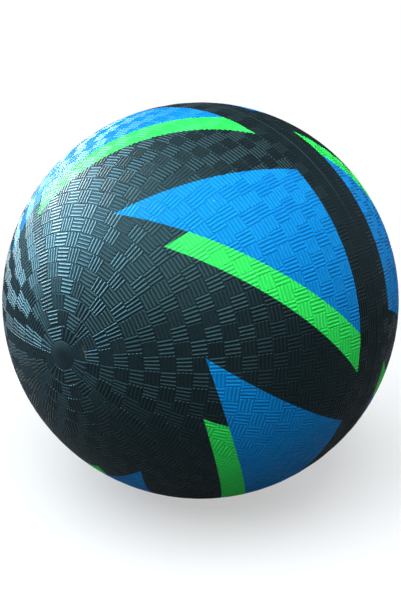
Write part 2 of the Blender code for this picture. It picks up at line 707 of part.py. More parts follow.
def build_power(axis):
    """Cradle, button cells, and the contacts at their ends with straps that run to the board."""
    grey_plastic = material("grey_plastic", (0.350, 0.360, 0.370), 0.45)
    cell_steel = material("cell_steel", (0.720, 0.720, 0.700), 0.25, 1.0)
    contact_steel = material("contact_nickel", (0.660, 0.640, 0.580), 0.30, 1.0)
    profile = [
        (0.0, TRAY_TOP),
        (TRAY_RADIUS, TRAY_TOP),
        (TRAY_RADIUS, TRAY_END),
        (0.0, TRAY_END),
        (0.0, TRAY_FLOOR),
        (TRAY_BORE_RADIUS, TRAY_FLOOR),
        (TRAY_BORE_RADIUS, TRAY_TOP - TRAY_END_WALL),
        (0.0, TRAY_TOP - TRAY_END_WALL),
    ]
    tray = node("cell_tray", turned("cell_tray", profile, ROUND_SIDES // 2, 0.0, 180.0), grey_plastic, axis)

    fibreglass = material("circuit_board", (0.020, 0.200, 0.060), 0.45)
    disc = [(0.0, BOARD_TOP), (TRAY_RADIUS, BOARD_TOP), (TRAY_RADIUS, BOARD_END), (0.0, BOARD_END)]
    board = node("circuit_board", turned("circuit_board", disc, FINE_SIDES), fibreglass, axis)

    screw_steel = material("screw_steel", (0.550, 0.550, 0.560), 0.35, 1.0)
    hole_radius = SCREW_RADIUS + FIT_GAP
    screw_tip = TRAY_FLOOR - FIT_GAP
    for number, (x, y) in enumerate(screw_places()):
        hole = bpy.data.objects.new(f"screw_hole_{number + 1}", turned(
            f"screw_hole_{number + 1}",
            [(0.0, TRAY_FLOOR + FIT_GAP), (hole_radius, TRAY_FLOOR + FIT_GAP),
             (hole_radius, DEVICE_SEAT), (0.0, DEVICE_SEAT)],
            SMALL_SIDES))
        hole.location = (x, y, 0.0)
        hole.parent = axis
        bpy.context.scene.collection.objects.link(hole)
        cut(tray, hole)
        cut(board, hole)
        screw = [
            (0.0, screw_tip),
            (SCREW_RADIUS, screw_tip),
            (SCREW_RADIUS, DEVICE_SEAT),
            (SCREW_HEAD_RADIUS, DEVICE_SEAT),
            (SCREW_HEAD_RADIUS, DEVICE_SEAT - SCREW_HEAD_HEIGHT),
            (0.0, DEVICE_SEAT - SCREW_HEAD_HEIGHT),
        ]
        name = f"board_screw_{number + 1}"
        node(name, turned(name, screw, SMALL_SIDES), screw_steel, axis, (x, y, 0.0))

    strap_inside = TRAY_BORE_RADIUS + FIT_GAP
    strap_outside = strap_inside + STRAP_PLATE
    strap_foot = BOARD_TOP + FIT_GAP
    plates = (("minus", MINUS_TOP, MINUS_STRAP_ANGLE), ("plus", PLUS_TOP, PLUS_STRAP_ANGLE))
    for sign, top, at in plates:
        name = f"contact_plate_{sign}"
        disc = [(0.0, top), (CONTACT_RADIUS, top), (CONTACT_RADIUS, top - CONTACT_PLATE),
                (0.0, top - CONTACT_PLATE)]
        plate = node(name, turned(name, disc, ROUND_SIDES), contact_steel, axis)
        arm_top = top - (CONTACT_PLATE - STRAP_PLATE) / 2
        arm_root = CONTACT_RADIUS / 2
        bent = [(arm_root, arm_top), (strap_outside, arm_top), (strap_outside, strap_foot),
                (strap_inside, strap_foot), (strap_inside, arm_top - STRAP_PLATE),
                (arm_root, arm_top - STRAP_PLATE)]
        cut(plate, wedge(f"contact_strap_{sign}", bent, at, STRAP_SWEEP, axis), "UNION")

    cell = [
        (0.0, 0.0),
        (CELL_RADIUS - CELL_EDGE, 0.0),
        (CELL_RADIUS, -CELL_EDGE),
        (CELL_RADIUS, CELL_CROWN_HEIGHT - CELL_HEIGHT),
        (CELL_CROWN_RADIUS, CELL_CROWN_HEIGHT - CELL_HEIGHT - CELL_EDGE),
        (CELL_CROWN_RADIUS, -CELL_HEIGHT),
        (0.0, -CELL_HEIGHT),
    ]
    for number in range(CELLS):
        name = f"button_cell_{number + 1}"
        top = FIRST_CELL_TOP - number * CELL_PITCH
        node(name, turned(name, cell, ROUND_SIDES), cell_steel, axis, (0.0, 0.0, top))


def build_lights(axis):
    """LEDs, control chip and the impact switch's pin on the board's inner face."""
    led_epoxy = material("led_epoxy", (0.860, 0.900, 0.920), 0.15, alpha=0.6)
    chip_epoxy = material("chip_epoxy", (0.015, 0.015, 0.016), 0.55)
    brass = material("brass", (0.780, 0.570, 0.250), 0.30, 1.0)
    straight_end = DEVICE_SEAT - LED_HEIGHT + LED_RADIUS
    led = [
        (0.0, DEVICE_SEAT),
        (LED_FLANGE_RADIUS, DEVICE_SEAT),
        (LED_FLANGE_RADIUS, DEVICE_SEAT - LED_FLANGE_HEIGHT),
        (LED_RADIUS, DEVICE_SEAT - LED_FLANGE_HEIGHT),
        *dome(LED_RADIUS, LED_RADIUS, straight_end, LED_DOME_STEPS),
    ]
    for number in range(LEDS):
        angle = math.radians(LED_START_ANGLE + 360.0 / LEDS * number)
        place = (LED_CIRCLE * math.cos(angle), LED_CIRCLE * math.sin(angle), 0.0)
        name = f"led_{number + 1}"
        node(name, turned(name, led, SMALL_SIDES), led_epoxy, axis, place)

    length, width, height = CHIP_SIZE
    bm = bmesh.new()
    bmesh.ops.create_cube(bm, size=1.0, matrix=Matrix.Diagonal((length, width, height, 1.0)))
    angle = math.radians(CHIP_ANGLE)
    place = (CHIP_CIRCLE * math.cos(angle), CHIP_CIRCLE * math.sin(angle), DEVICE_SEAT - height / 2)
    node("control_chip", finished_mesh("control_chip", bm), chip_epoxy, axis, place)

    pin = [
        (0.0, DEVICE_SEAT),
        (PIN_FOOT_RADIUS, DEVICE_SEAT),
        (PIN_FOOT_RADIUS, DEVICE_SEAT - PIN_FOOT_HEIGHT),
        (PIN_RADIUS, DEVICE_SEAT - PIN_FOOT_HEIGHT),
        (PIN_RADIUS, PIN_TIP),
        (0.0, PIN_TIP),
    ]
    node("switch_pin", turned("switch_pin", pin, SMALL_SIDES), brass, axis)


def build_spring(axis):
    """The impact switch's coil spring, hung on its fixed end."""
    spring_steel = material("spring_steel", (0.600, 0.600, 0.620), 0.30, 1.0)
    steps = SPRING_TURNS * SPRING_POINTS_PER_TURN
    points = []
    for step in range(steps + 1):
        angle = 2 * math.pi * step / SPRING_POINTS_PER_TURN
        drop = SPRING_WIRE_RADIUS + (SPRING_LENGTH - 2 * SPRING_WIRE_RADIUS) * step / steps
        points.append(Vector((SPRING_RADIUS * math.cos(angle), SPRING_RADIUS * math.sin(angle), -drop)))
    least = min((points[step] - points[step + SPRING_POINTS_PER_TURN]).length
                for step in range(steps + 1 - SPRING_POINTS_PER_TURN))
    print(f"switch_spring: least gap between turns {1000 * (least - 2 * SPRING_WIRE_RADIUS):.2f} mm")
    curve = bpy.data.curves.new("switch_spring", "CURVE")
    curve.dimensions = "3D"
    curve.bevel_depth = SPRING_WIRE_RADIUS
    curve.bevel_resolution = 1
    curve.use_fill_caps = True
    spline = curve.splines.new("POLY")
    spline.points.add(len(points) - 1)
    for control, point in zip(spline.points, points):
        control.co = (*point, 1.0)
    node("switch_spring", curve, spring_steel, axis)


def main():
    clear_scene()
    mould_axis = empty("mould_axis", (-90.0, 0.0, 0.0))
    valve_axis = empty("valve_axis", (0.0, -90.0, 0.0))
    unit_axis = empty("unit_axis", (-90.0, 0.0, 0.0))
    lens_axis = empty("lens_axis", parent=unit_axis)
    spring_axis = empty("spring_axis", place=(0.0, 0.0, DEVICE_SEAT), parent=unit_axis)
    build_ball(mould_axis, valve_axis)
    build_valve(valve_axis)
    build_pocket(mould_axis)
    build_plug(unit_axis)
    build_cap(unit_axis)
    build_power(unit_axis)
    build_lights(unit_axis)
    build_lens(lens_axis)
    build_spring(spring_axis)
    print(f"light unit: pulls out {1000 * PULL_OUT:.1f} mm, lens end at {1000 * LENS_END:.1f} mm, "
          f"spring root at {1000 * DEVICE_SEAT:.1f} mm")


main()
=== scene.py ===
# %% [markdown]
# # A light-up street ball in moulded rubber
# The ball is black rubber, moulded with a basket weave, and ten blue blades with a green bar each are
# let into it. A small light unit sits behind a plug at the far pole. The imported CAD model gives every
# place and size here. This script gives the ball its weave and each piece its finish, and then lights and
# frames it.

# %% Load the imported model
import json
import math

import bmesh
import bpy
from mathutils import Matrix, Vector


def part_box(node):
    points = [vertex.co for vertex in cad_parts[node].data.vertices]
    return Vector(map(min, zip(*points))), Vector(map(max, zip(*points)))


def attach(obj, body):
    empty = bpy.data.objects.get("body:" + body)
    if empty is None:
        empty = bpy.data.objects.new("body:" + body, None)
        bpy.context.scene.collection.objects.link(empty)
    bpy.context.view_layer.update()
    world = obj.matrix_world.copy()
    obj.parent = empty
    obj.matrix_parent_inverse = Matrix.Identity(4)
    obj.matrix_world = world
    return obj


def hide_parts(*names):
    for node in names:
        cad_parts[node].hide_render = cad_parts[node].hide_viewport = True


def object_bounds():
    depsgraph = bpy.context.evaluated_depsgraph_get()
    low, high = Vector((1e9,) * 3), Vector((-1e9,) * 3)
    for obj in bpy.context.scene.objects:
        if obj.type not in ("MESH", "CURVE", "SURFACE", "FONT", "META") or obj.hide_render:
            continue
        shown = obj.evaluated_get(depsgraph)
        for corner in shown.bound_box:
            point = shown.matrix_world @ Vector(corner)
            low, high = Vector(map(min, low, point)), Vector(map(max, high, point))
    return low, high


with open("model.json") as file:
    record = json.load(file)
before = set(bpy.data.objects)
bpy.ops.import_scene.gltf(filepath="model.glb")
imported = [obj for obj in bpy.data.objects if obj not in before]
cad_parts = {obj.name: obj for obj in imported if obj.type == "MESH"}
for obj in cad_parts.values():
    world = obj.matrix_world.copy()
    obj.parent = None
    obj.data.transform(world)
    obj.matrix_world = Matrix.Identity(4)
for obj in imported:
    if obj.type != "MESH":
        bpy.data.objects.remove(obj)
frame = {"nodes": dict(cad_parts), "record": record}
cad_low, cad_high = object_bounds()
MM = 0.001
BALL_RADIUS = cad_high[2]
print(f"{len(frame['nodes'])} CAD nodes, ball radius {BALL_RADIUS / MM:.2f} mm")

# %% [markdown]
# ## Camera
# The photograph looks at the front pole's right side from a little above. In the frame the ball's outline
# is a circle round the middle, so the camera points straight at the ball's centre and needs no shift. Its
# distance follows from how far the blades narrow towards the edge, and the lens sets the outline's size.

# %% Camera
CAMERA_AZIMUTH = 36.9
CAMERA_ELEVATION = 17.4
CAMERA_DISTANCE = 520 * MM
CAMERA_LENS = 54.9
SENSOR_WIDTH = 36.0

camera_data = bpy.data.cameras.new("photo_camera")
camera_data.lens = CAMERA_LENS
camera_data.sensor_width = SENSOR_WIDTH
camera = bpy.data.objects.new("photo_camera", camera_data)
bpy.context.scene.collection.objects.link(camera)
camera_turn = Matrix.Rotation(math.radians(CAMERA_AZIMUTH), 4, "Z")
camera_tilt = Matrix.Rotation(math.radians(90.0 - CAMERA_ELEVATION), 4, "X")
camera.matrix_world = camera_turn @ camera_tilt @ Matrix.Translation((0.0, 0.0, CAMERA_DISTANCE))
bpy.context.scene.camera = camera
print("camera at", [round(value, 3) for value in camera.matrix_world.translation])

# %% [markdown]
# ## Nodes
# Both the Geometry Nodes and the materials are built by hand here, so one small function adds a node, sets
# its properties, and fills each input with either a plain value or a link from another node's output.

# %% One function that adds a node
def add_node(tree, kind, settings=None, inputs=None):
    """Add a node. An input that is given a socket is linked to it, any other input gets the value."""
    node = tree.nodes.new(kind)
    for name, value in (settings or {}).items():
        setattr(node, name, value)
    for name, value in (inputs or {}).items():
        if isinstance(value, bpy.types.NodeSocket):
            tree.links.new(value, node.inputs[name])
        else:
            node.inputs[name].default_value = value
    return node


def add_inputs(tree, sockets):
    """Give a Geometry Nodes tree its named inputs and its one output. Return {name: identifier}."""
    identifiers = {}
    tree.interface.new_socket("Geometry", in_out="INPUT", socket_type="NodeSocketGeometry")
    for name, kind in sockets.items():
        identifiers[name] = tree.interface.new_socket(name, in_out="INPUT", socket_type=kind).identifier
    tree.interface.new_socket("Geometry", in_out="OUTPUT", socket_type="NodeSocketGeometry")
    return identifiers


def grown_mesh(name, start, tree, identifiers, values):
    """Run a tree on a starting mesh and return what it grows as a plain mesh."""
    seed = bpy.data.objects.new(name, start)
    bpy.context.scene.collection.objects.link(seed)
    step = seed.modifiers.new("grow", "NODES")
    step.node_group = tree
    for socket, value in values.items():
        step[identifiers[socket]] = value
    graph = bpy.context.evaluated_depsgraph_get()
    mesh = bpy.data.meshes.new_from_object(seed.evaluated_get(graph))
    seed.modifiers.remove(step)
    bpy.data.objects.remove(seed, do_unlink=True)
    mesh.name = name
    return mesh


# %% [markdown]
# ## Colours and scales
# Colours are written as they look on a screen, in sRGB, and one function turns them to the linear values
# that the shaders want. A pattern's scale is written as the millimetres that one repeat takes.

# %% Colours and pattern scales
def linear(colour):
    """An sRGB hex colour such as "1A86E0" as linear red, green, blue and alpha."""
    channels = [int(colour[start:start + 2], 16) / 255 for start in (0, 2, 4)]
    bent = [value / 12.92 if value <= 0.04045 else ((value + 0.055) / 1.055) ** 2.4 for value in channels]
    return (*bent, 1.0)


def repeats(millimetres):
    """Texture scale at which one repeat takes this many millimetres."""
    return 1.0 / (millimetres * MM)


def new_material(name):
    """An empty node material. Return it, its tree and its shader."""
    material = bpy.data.materials.new(name)
    material.use_nodes = True
    return material, material.node_tree, material.node_tree.nodes["Principled BSDF"]


# %% [markdown]
# ## The weave's plan
# The cover is moulded in two halves. Each half carries rings of square cells round its pole, which end at
# the mould's parting line along the equator. A cell holds four short ribs, and from cell to cell they run
# along the ring or towards the pole, like a basket weave. A texture could fake this, but the ribs catch the
# light on their shoulders and break the ball's edge, so they are real here.
# The plan is flat: each cell is one point at (turn, angle from the pole), in degrees, and knows its width
# and its ribs' direction. All rings start at one turn, where they alternate like a chessboard. Outer rings
# need more cells, so the pattern drifts from there. Every second ring gets some of its neighbour's share of
# cells, so that the drift is uneven and never lines up in a long spoke. The blades end two rings before the
# parting line, and in those two rings the ribs grow flatter.

# %% The weave's plan
BASE_POLAR = 82.0
RINGS_TO_BASE = 21
RINGS = RINGS_TO_BASE + 2
RING_ANGLE = BASE_POLAR / RINGS_TO_BASE
WEAVE_POLAR = RINGS * RING_ANGLE
START_TURN = 90.0
PAIRS_LENT = 1.0
RIBS_PER_CELL = 4
RIB_HEIGHT = 0.32 * MM
RUN_OUT = {RINGS - 2: 0.8, RINGS - 1: 0.45}
FLOOR_RADIUS = BALL_RADIUS - RIB_HEIGHT
FRONT_FIRST_RING = 1
REAR_FIRST_RING = 3


def weave_plan(name, first_ring):
    """A mesh with one point for each cell of a half, from a first ring to the parting line."""
    points = []
    widths = []
    heights = []
    along_ring = []
    for ring in range(first_ring, RINGS):
        polar = (ring + 0.5) * RING_ANGLE
        pairs = 180.0 * math.sin(math.radians(polar)) / RING_ANGLE
        cells = 2 * round(pairs - PAIRS_LENT if ring % 2 else pairs + PAIRS_LENT)
        for cell in range(cells):
            points.append((START_TURN + (cell + 0.5) * 360.0 / cells, polar, 0.0))
            widths.append(360.0 / cells)
            heights.append(RUN_OUT.get(ring, 1.0))
            along_ring.append((cell + ring) % 2 == 0)
    plan = bpy.data.meshes.new(name)
    plan.from_pydata(points, [], [])
    plan.attributes.new("cell_width", "FLOAT", "POINT").data.foreach_set("value", widths)
    plan.attributes.new("rib_share", "FLOAT", "POINT").data.foreach_set("value", heights)
    plan.attributes.new("along_ring", "BOOLEAN", "POINT").data.foreach_set("value", along_ring)
    print(f"{name}: {len(points)} cells of {BALL_RADIUS * math.radians(RING_ANGLE) / MM:.2f} mm")
    return plan


print(f"{RINGS} rings of {RING_ANGLE:.2f} degrees")

# %% [markdown]
# ## The weave's tree
# One cell is a flat grid, 1 by 1, with eight columns to each rib: two for its flat top, two for its rounded
# shoulders, two for its walls and two for the groove. The columns are drawn in towards the crest, so that
# the ribs are slim and the grooves wide. Four lines of points are enough lengthwise, and the inner two are
# pushed out close to the cell's edge, where the ribs end.
# The cell is set on every point of the plan, upright or lying, and stretched to the cell's size. Only then
# is the plan wrapped: turn and polar angle become a place on the sphere, and height adds to its radius.
# All edges of a cell stay at the groove's level, so neighbours meet without a step.

# %% The weave's tree: a flat grid
MATH = "ShaderNodeMath"
MAP = "ShaderNodeMapRange"
COLUMNS_PER_RIB = 8
ROWS = 4

weave_tree = bpy.data.node_groups.new("basket_weave", "GeometryNodeTree")
weave_inputs = add_inputs(weave_tree, {
    "Ring Angle": "NodeSocketFloat", "Ribs": "NodeSocketInt", "Rib Height": "NodeSocketFloat",
    "Floor Radius": "NodeSocketFloat", "Material": "NodeSocketMaterial"})
sizes = add_node(weave_tree, "NodeGroupInput").outputs
columns = add_node(weave_tree, MATH, {"operation": "MULTIPLY_ADD"}, {
    0: sizes["Ribs"], 1: COLUMNS_PER_RIB, 2: 1.0})
grid = add_node(weave_tree, "GeometryNodeMeshGrid", None, {
    "Size X": 1.0, "Size Y": 1.0, "Vertices X": columns.outputs[0], "Vertices Y": ROWS})
spot = add_node(weave_tree, "ShaderNodeSeparateXYZ", None, {
    0: add_node(weave_tree, "GeometryNodeInputPosition").outputs[0]}).outputs
print("flat grid:", len(weave_tree.nodes), "nodes")

# %% The weave's tree: across the ribs
TOP_END, SHOULDER_END, WALL_END = 0.25, 0.50, 0.75
SHOULDER_HEIGHT = 0.86
CREST_PULL = 1.3

half_ribs = add_node(weave_tree, MATH, {"operation": "MULTIPLY"}, {0: sizes["Ribs"], 1: 0.5})
across = add_node(weave_tree, MATH, {"operation": "MULTIPLY_ADD"}, {
    0: spot["X"], 1: sizes["Ribs"], 2: half_ribs.outputs[0]})
rib_start = add_node(weave_tree, MATH, {"operation": "FLOOR"}, {0: across.outputs[0]})
in_rib = add_node(weave_tree, MATH, {"operation": "FRACT"}, {0: across.outputs[0]})
from_crest = add_node(weave_tree, MATH, {"operation": "MULTIPLY_ADD"}, {
    0: in_rib.outputs[0], 1: 2.0, 2: -1.0})
crest_distance = add_node(weave_tree, MATH, {"operation": "ABSOLUTE"}, {0: from_crest.outputs[0]})
crest_side = add_node(weave_tree, MATH, {"operation": "SIGN"}, {0: from_crest.outputs[0]})
pulled = add_node(weave_tree, MATH, {"operation": "POWER"}, {0: crest_distance.outputs[0], 1: CREST_PULL})
sided = add_node(weave_tree, MATH, {"operation": "MULTIPLY"}, {
    0: pulled.outputs[0], 1: crest_side.outputs[0]})
in_pitch = add_node(weave_tree, MATH, {"operation": "MULTIPLY_ADD"}, {0: sided.outputs[0], 1: 0.5, 2: 0.5})
pitches = add_node(weave_tree, MATH, {"operation": "ADD"}, {0: rib_start.outputs[0], 1: in_pitch.outputs[0]})
share = add_node(weave_tree, MATH, {"operation": "DIVIDE"}, {0: pitches.outputs[0], 1: sizes["Ribs"]})
new_x = add_node(weave_tree, MATH, {"operation": "SUBTRACT"}, {0: share.outputs[0], 1: 0.5})
shoulder = add_node(weave_tree, MAP, None, {
    "Value": crest_distance.outputs[0], "From Min": TOP_END, "From Max": SHOULDER_END,
    "To Min": 1.0, "To Max": SHOULDER_HEIGHT})
wall = add_node(weave_tree, MAP, None, {
    "Value": crest_distance.outputs[0], "From Min": SHOULDER_END, "From Max": WALL_END,
    "To Min": 1.0, "To Max": 0.0})
print("with the ribs' section:", len(weave_tree.nodes), "nodes")

# %% The weave's tree: along the ribs
INNER_ROW = 1 / 3
RIB_END = 0.92
END_LINE_REACH = 0.01

lengthwise = add_node(weave_tree, MATH, {"operation": "MULTIPLY"}, {0: spot["Y"], 1: 2.0})
end_distance = add_node(weave_tree, MATH, {"operation": "ABSOLUTE"}, {0: lengthwise.outputs[0]})
end_side = add_node(weave_tree, MATH, {"operation": "SIGN"}, {0: lengthwise.outputs[0]})
end_place = add_node(weave_tree, MAP, None, {
    "Value": end_distance.outputs[0], "From Min": INNER_ROW, "From Max": 1.0,
    "To Min": RIB_END / 2, "To Max": 0.5})
new_y = add_node(weave_tree, MATH, {"operation": "MULTIPLY"}, {
    0: end_place.outputs[0], 1: end_side.outputs[0]})
end = add_node(weave_tree, MAP, None, {
    "Value": end_distance.outputs[0], "From Min": INNER_ROW, "From Max": 1.0, "To Min": 1.0, "To Max": 0.0})
print("with the ribs' ends:", len(weave_tree.nodes), "nodes")

# %% The weave's tree: one cell, upright and lying
rounded = add_node(weave_tree, MATH, {"operation": "MULTIPLY"}, {0: shoulder.outputs[0], 1: wall.outputs[0]})
raised = add_node(weave_tree, MATH, {"operation": "MULTIPLY"}, {0: rounded.outputs[0], 1: end.outputs[0]})
new_z = add_node(weave_tree, MATH, {"operation": "MULTIPLY"}, {
    0: raised.outputs[0], 1: sizes["Rib Height"]})
cell_spot = add_node(weave_tree, "ShaderNodeCombineXYZ", None, {
    "X": new_x.outputs[0], "Y": new_y.outputs[0], "Z": new_z.outputs[0]})
end_line = add_node(weave_tree, "FunctionNodeCompare", {"operation": "EQUAL"}, {
    "A": end_distance.outputs[0], "B": INNER_ROW, "Epsilon": END_LINE_REACH})
crisp_ends = add_node(weave_tree, "GeometryNodeSetShadeSmooth", {"domain": "EDGE"}, {
    "Geometry": grid.outputs["Mesh"], "Selection": end_line.outputs[0], "Shade Smooth": False})
upright_cell = add_node(weave_tree, "GeometryNodeSetPosition", None, {
    "Geometry": crisp_ends.outputs[0], "Position": cell_spot.outputs[0]})
lying_cell = add_node(weave_tree, "GeometryNodeTransform", None, {
    "Geometry": upright_cell.outputs[0], "Rotation": (0.0, 0.0, math.pi / 2)})
print("one cell:", len(weave_tree.nodes), "nodes")

# %% The weave's tree: set the cells
width = add_node(weave_tree, "GeometryNodeInputNamedAttribute", {"data_type": "FLOAT"}, {
    "Name": "cell_width"})
rib_share = add_node(weave_tree, "GeometryNodeInputNamedAttribute", {"data_type": "FLOAT"}, {
    "Name": "rib_share"})
lying = add_node(weave_tree, "GeometryNodeInputNamedAttribute", {"data_type": "BOOLEAN"}, {
    "Name": "along_ring"})
upright = add_node(weave_tree, "FunctionNodeBooleanMath", {"operation": "NOT"}, {
    0: lying.outputs["Attribute"]})
stretch = add_node(weave_tree, "ShaderNodeCombineXYZ", None, {
    "X": width.outputs["Attribute"], "Y": sizes["Ring Angle"], "Z": rib_share.outputs["Attribute"]})
cells = add_node(weave_tree, "GeometryNodeJoinGeometry")
for cell_shape, chosen in ((upright_cell, upright.outputs[0]), (lying_cell, lying.outputs["Attribute"])):
    placed = add_node(weave_tree, "GeometryNodeInstanceOnPoints", None, {
        "Points": sizes["Geometry"], "Selection": chosen, "Instance": cell_shape.outputs[0],
        "Scale": stretch.outputs[0]})
    weave_tree.links.new(placed.outputs[0], cells.inputs[0])
flat_weave = add_node(weave_tree, "GeometryNodeRealizeInstances", None, {0: cells.outputs[0]})
print("with all cells:", len(weave_tree.nodes), "nodes")

# %% The weave's tree: wrap the plan on the ball
CELL_WELD = 0.01 * MM

plan_spot = add_node(weave_tree, "ShaderNodeSeparateXYZ", None, {
    0: add_node(weave_tree, "GeometryNodeInputPosition").outputs[0]}).outputs
turn = add_node(weave_tree, MATH, {"operation": "RADIANS"}, {0: plan_spot["X"]})
polar = add_node(weave_tree, MATH, {"operation": "RADIANS"}, {0: plan_spot["Y"]})
polar_sine = add_node(weave_tree, MATH, {"operation": "SINE"}, {0: polar.outputs[0]})
polar_cosine = add_node(weave_tree, MATH, {"operation": "COSINE"}, {0: polar.outputs[0]})
turn_sine = add_node(weave_tree, MATH, {"operation": "SINE"}, {0: turn.outputs[0]})
turn_cosine = add_node(weave_tree, MATH, {"operation": "COSINE"}, {0: turn.outputs[0]})
right = add_node(weave_tree, MATH, {"operation": "MULTIPLY"}, {
    0: polar_sine.outputs[0], 1: turn_sine.outputs[0]})
back = add_node(weave_tree, MATH, {"operation": "MULTIPLY"}, {0: polar_cosine.outputs[0], 1: -1.0})
up = add_node(weave_tree, MATH, {"operation": "MULTIPLY"}, {
    0: polar_sine.outputs[0], 1: turn_cosine.outputs[0]})
outward = add_node(weave_tree, "ShaderNodeCombineXYZ", None, {
    "X": right.outputs[0], "Y": back.outputs[0], "Z": up.outputs[0]})
reach = add_node(weave_tree, MATH, {"operation": "ADD"}, {0: sizes["Floor Radius"], 1: plan_spot["Z"]})
ball_spot = add_node(weave_tree, "ShaderNodeVectorMath", {"operation": "SCALE"}, {
    0: outward.outputs[0], "Scale": reach.outputs[0]})
wrapped = add_node(weave_tree, "GeometryNodeSetPosition", None, {
    "Geometry": flat_weave.outputs[0], "Position": ball_spot.outputs[0]})
welded = add_node(weave_tree, "GeometryNodeMergeByDistance", None, {
    "Geometry": wrapped.outputs[0], "Distance": CELL_WELD})
smooth = add_node(weave_tree, "GeometryNodeSetShadeSmooth", None, {"Geometry": welded.outputs[0]})
finished = add_node(weave_tree, "GeometryNodeSetMaterial", None, {
    "Geometry": smooth.outputs[0], "Material": sizes["Material"]})
add_node(weave_tree, "NodeGroupOutput", None, {0: finished.outputs[0]})
print("whole weave:", len(weave_tree.nodes), "nodes")

# %% [markdown]
# ## Rubber
# Moulded rubber is dull in its grooves, where the mould leaves it matt and dust settles, and a little
# polished on the ribs that hands and ground touch. So the distance from the ball's centre, which tells rib
# from groove, drives the roughness, and it also darkens the colour in the grooves as painted shade. A soft
# mottle of a few centimetres and a fine grain keep large areas alive. The compound isn't very glossy, and
# what it reflects is tinted by its bloom.

# %% Rubber of the cover and the blades
# Sizes in millimetres. The real grain is finer, and this is as coarse as it has to be to show.
GRAIN_SIZE = 0.9
GRAIN_LIFT = 0.05
GRAIN_STRENGTH = 0.35
MOTTLE_SIZE = 22.0
CLOUD_FROM, CLOUD_TO, CLOUD_SHARE = 0.45, 0.75, 0.16
SPECK_SPACING = 9.0
SPECK_SIZE = 0.35
SPECKLESS_SHARE = 0.7
SPECK_STRENGTH = 0.45
SPECK_COLOUR = "B9BEC0"
RIB_ROUGHNESS = 0.25
GROOVE_ROUGHNESS = 0.66
ROUGHNESS_SPREAD = 0.16
RUBBER_IOR = 1.52
RUBBER_GLOSS = 0.14


def moulded_rubber(name, rib, groove_painted_shade, dust, gloss):
    """Moulded rubber: colours of ribs, of grooves (darker as painted shade), of dust and of gloss."""
    material, tree, shader = new_material(name)
    spot = add_node(tree, "ShaderNodeTexCoord").outputs["Object"]
    radius = add_node(tree, "ShaderNodeVectorMath", {"operation": "LENGTH"}, {0: spot})
    height = add_node(tree, MAP, None, {
        "Value": radius.outputs["Value"], "From Min": FLOOR_RADIUS, "From Max": BALL_RADIUS})
    mottle = add_node(tree, "ShaderNodeTexNoise", None, {
        "Vector": spot, "Scale": repeats(MOTTLE_SIZE), "Detail": 4.0, "Roughness": 0.6})
    # Painted shade: the grooves get the darker colour, as if shade lay in them
    face = add_node(tree, "ShaderNodeMix", {"data_type": "RGBA"}, {
        0: height.outputs[0], 6: linear(groove_painted_shade), 7: linear(rib)})
    cloud = add_node(tree, MAP, None, {
        "Value": mottle.outputs[0], "From Min": CLOUD_FROM, "From Max": CLOUD_TO, "To Max": CLOUD_SHARE})
    clouded = add_node(tree, "ShaderNodeMix", {"data_type": "RGBA"}, {
        0: cloud.outputs[0], 6: face.outputs[2], 7: linear(dust)})
    specks = add_node(tree, "ShaderNodeTexVoronoi", None, {
        "Vector": spot, "Scale": repeats(SPECK_SPACING)})
    chance = add_node(tree, "ShaderNodeSeparateColor", None, {0: specks.outputs["Color"]})
    speck_size = add_node(tree, MAP, None, {
        "Value": chance.outputs[0], "From Min": SPECKLESS_SHARE, "From Max": 1.0,
        "To Max": SPECK_SIZE / SPECK_SPACING})
    speck = add_node(tree, MATH, {"operation": "LESS_THAN"}, {
        0: specks.outputs["Distance"], 1: speck_size.outputs[0]})
    speck_share = add_node(tree, MATH, {"operation": "MULTIPLY"}, {0: speck.outputs[0], 1: SPECK_STRENGTH})
    dusted = add_node(tree, "ShaderNodeMix", {"data_type": "RGBA"}, {
        0: speck_share.outputs[0], 6: clouded.outputs[2], 7: linear(SPECK_COLOUR)})
    polish = add_node(tree, MAP, None, {
        "Value": height.outputs[0], "To Min": GROOVE_ROUGHNESS, "To Max": RIB_ROUGHNESS})
    spread = add_node(tree, MAP, None, {
        "Value": mottle.outputs[0], "To Min": -ROUGHNESS_SPREAD / 2, "To Max": ROUGHNESS_SPREAD / 2})
    rough = add_node(tree, MATH, {"operation": "ADD"}, {0: polish.outputs[0], 1: spread.outputs[0]})
    grain = add_node(tree, "ShaderNodeTexNoise", None, {
        "Vector": spot, "Scale": repeats(GRAIN_SIZE), "Detail": 2.0})
    bump = add_node(tree, "ShaderNodeBump", None, {
        "Height": grain.outputs[0], "Strength": GRAIN_STRENGTH, "Distance": GRAIN_LIFT * MM})
    tree.links.new(dusted.outputs[2], shader.inputs["Base Color"])
    tree.links.new(rough.outputs[0], shader.inputs["Roughness"])
    tree.links.new(bump.outputs[0], shader.inputs["Normal"])
    shader.inputs["IOR"].default_value = RUBBER_IOR
    shader.inputs["Specular IOR Level"].default_value = RUBBER_GLOSS
    shader.inputs["Specular Tint"].default_value = linear(gloss)
    return material


# Soft black that is never quite black: ribs catch a cool sheen, and the grooves are painted darker as shade
black_rubber = moulded_rubber("Black_moulded_rubber", "1B2428", "0A0E10", "242E33", "A8F4FF")
# Clear mid blue, which turns towards cyan where the sky shines on it; its grooves are painted darker as
# shade
blue_rubber = moulded_rubber("Blue_moulded_rubber", "0E8CDD", "0C7AC3", "2494DE", "3CFFD8")
# Vivid leaf green, the brightest colour on the ball; its grooves are painted darker as shade
green_rubber = moulded_rubber("Green_moulded_rubber", "34F864", "2ADA54", "50F878", "BFFFE0")
print("rubber:", black_rubber.name, blue_rubber.name, green_rubber.name)

# %% [markdown]
# ## Blades
# A blade and its bar are bounded by five circles on the ball, as the tool that cuts the moulded sheets
# would follow them, and a circle on a ball is where a plane cuts it. So the woven halves are sliced along
# those planes, and every face goes to the blade, bar or cover that its middle lies in. The weave then runs
# on from one colour to the next.

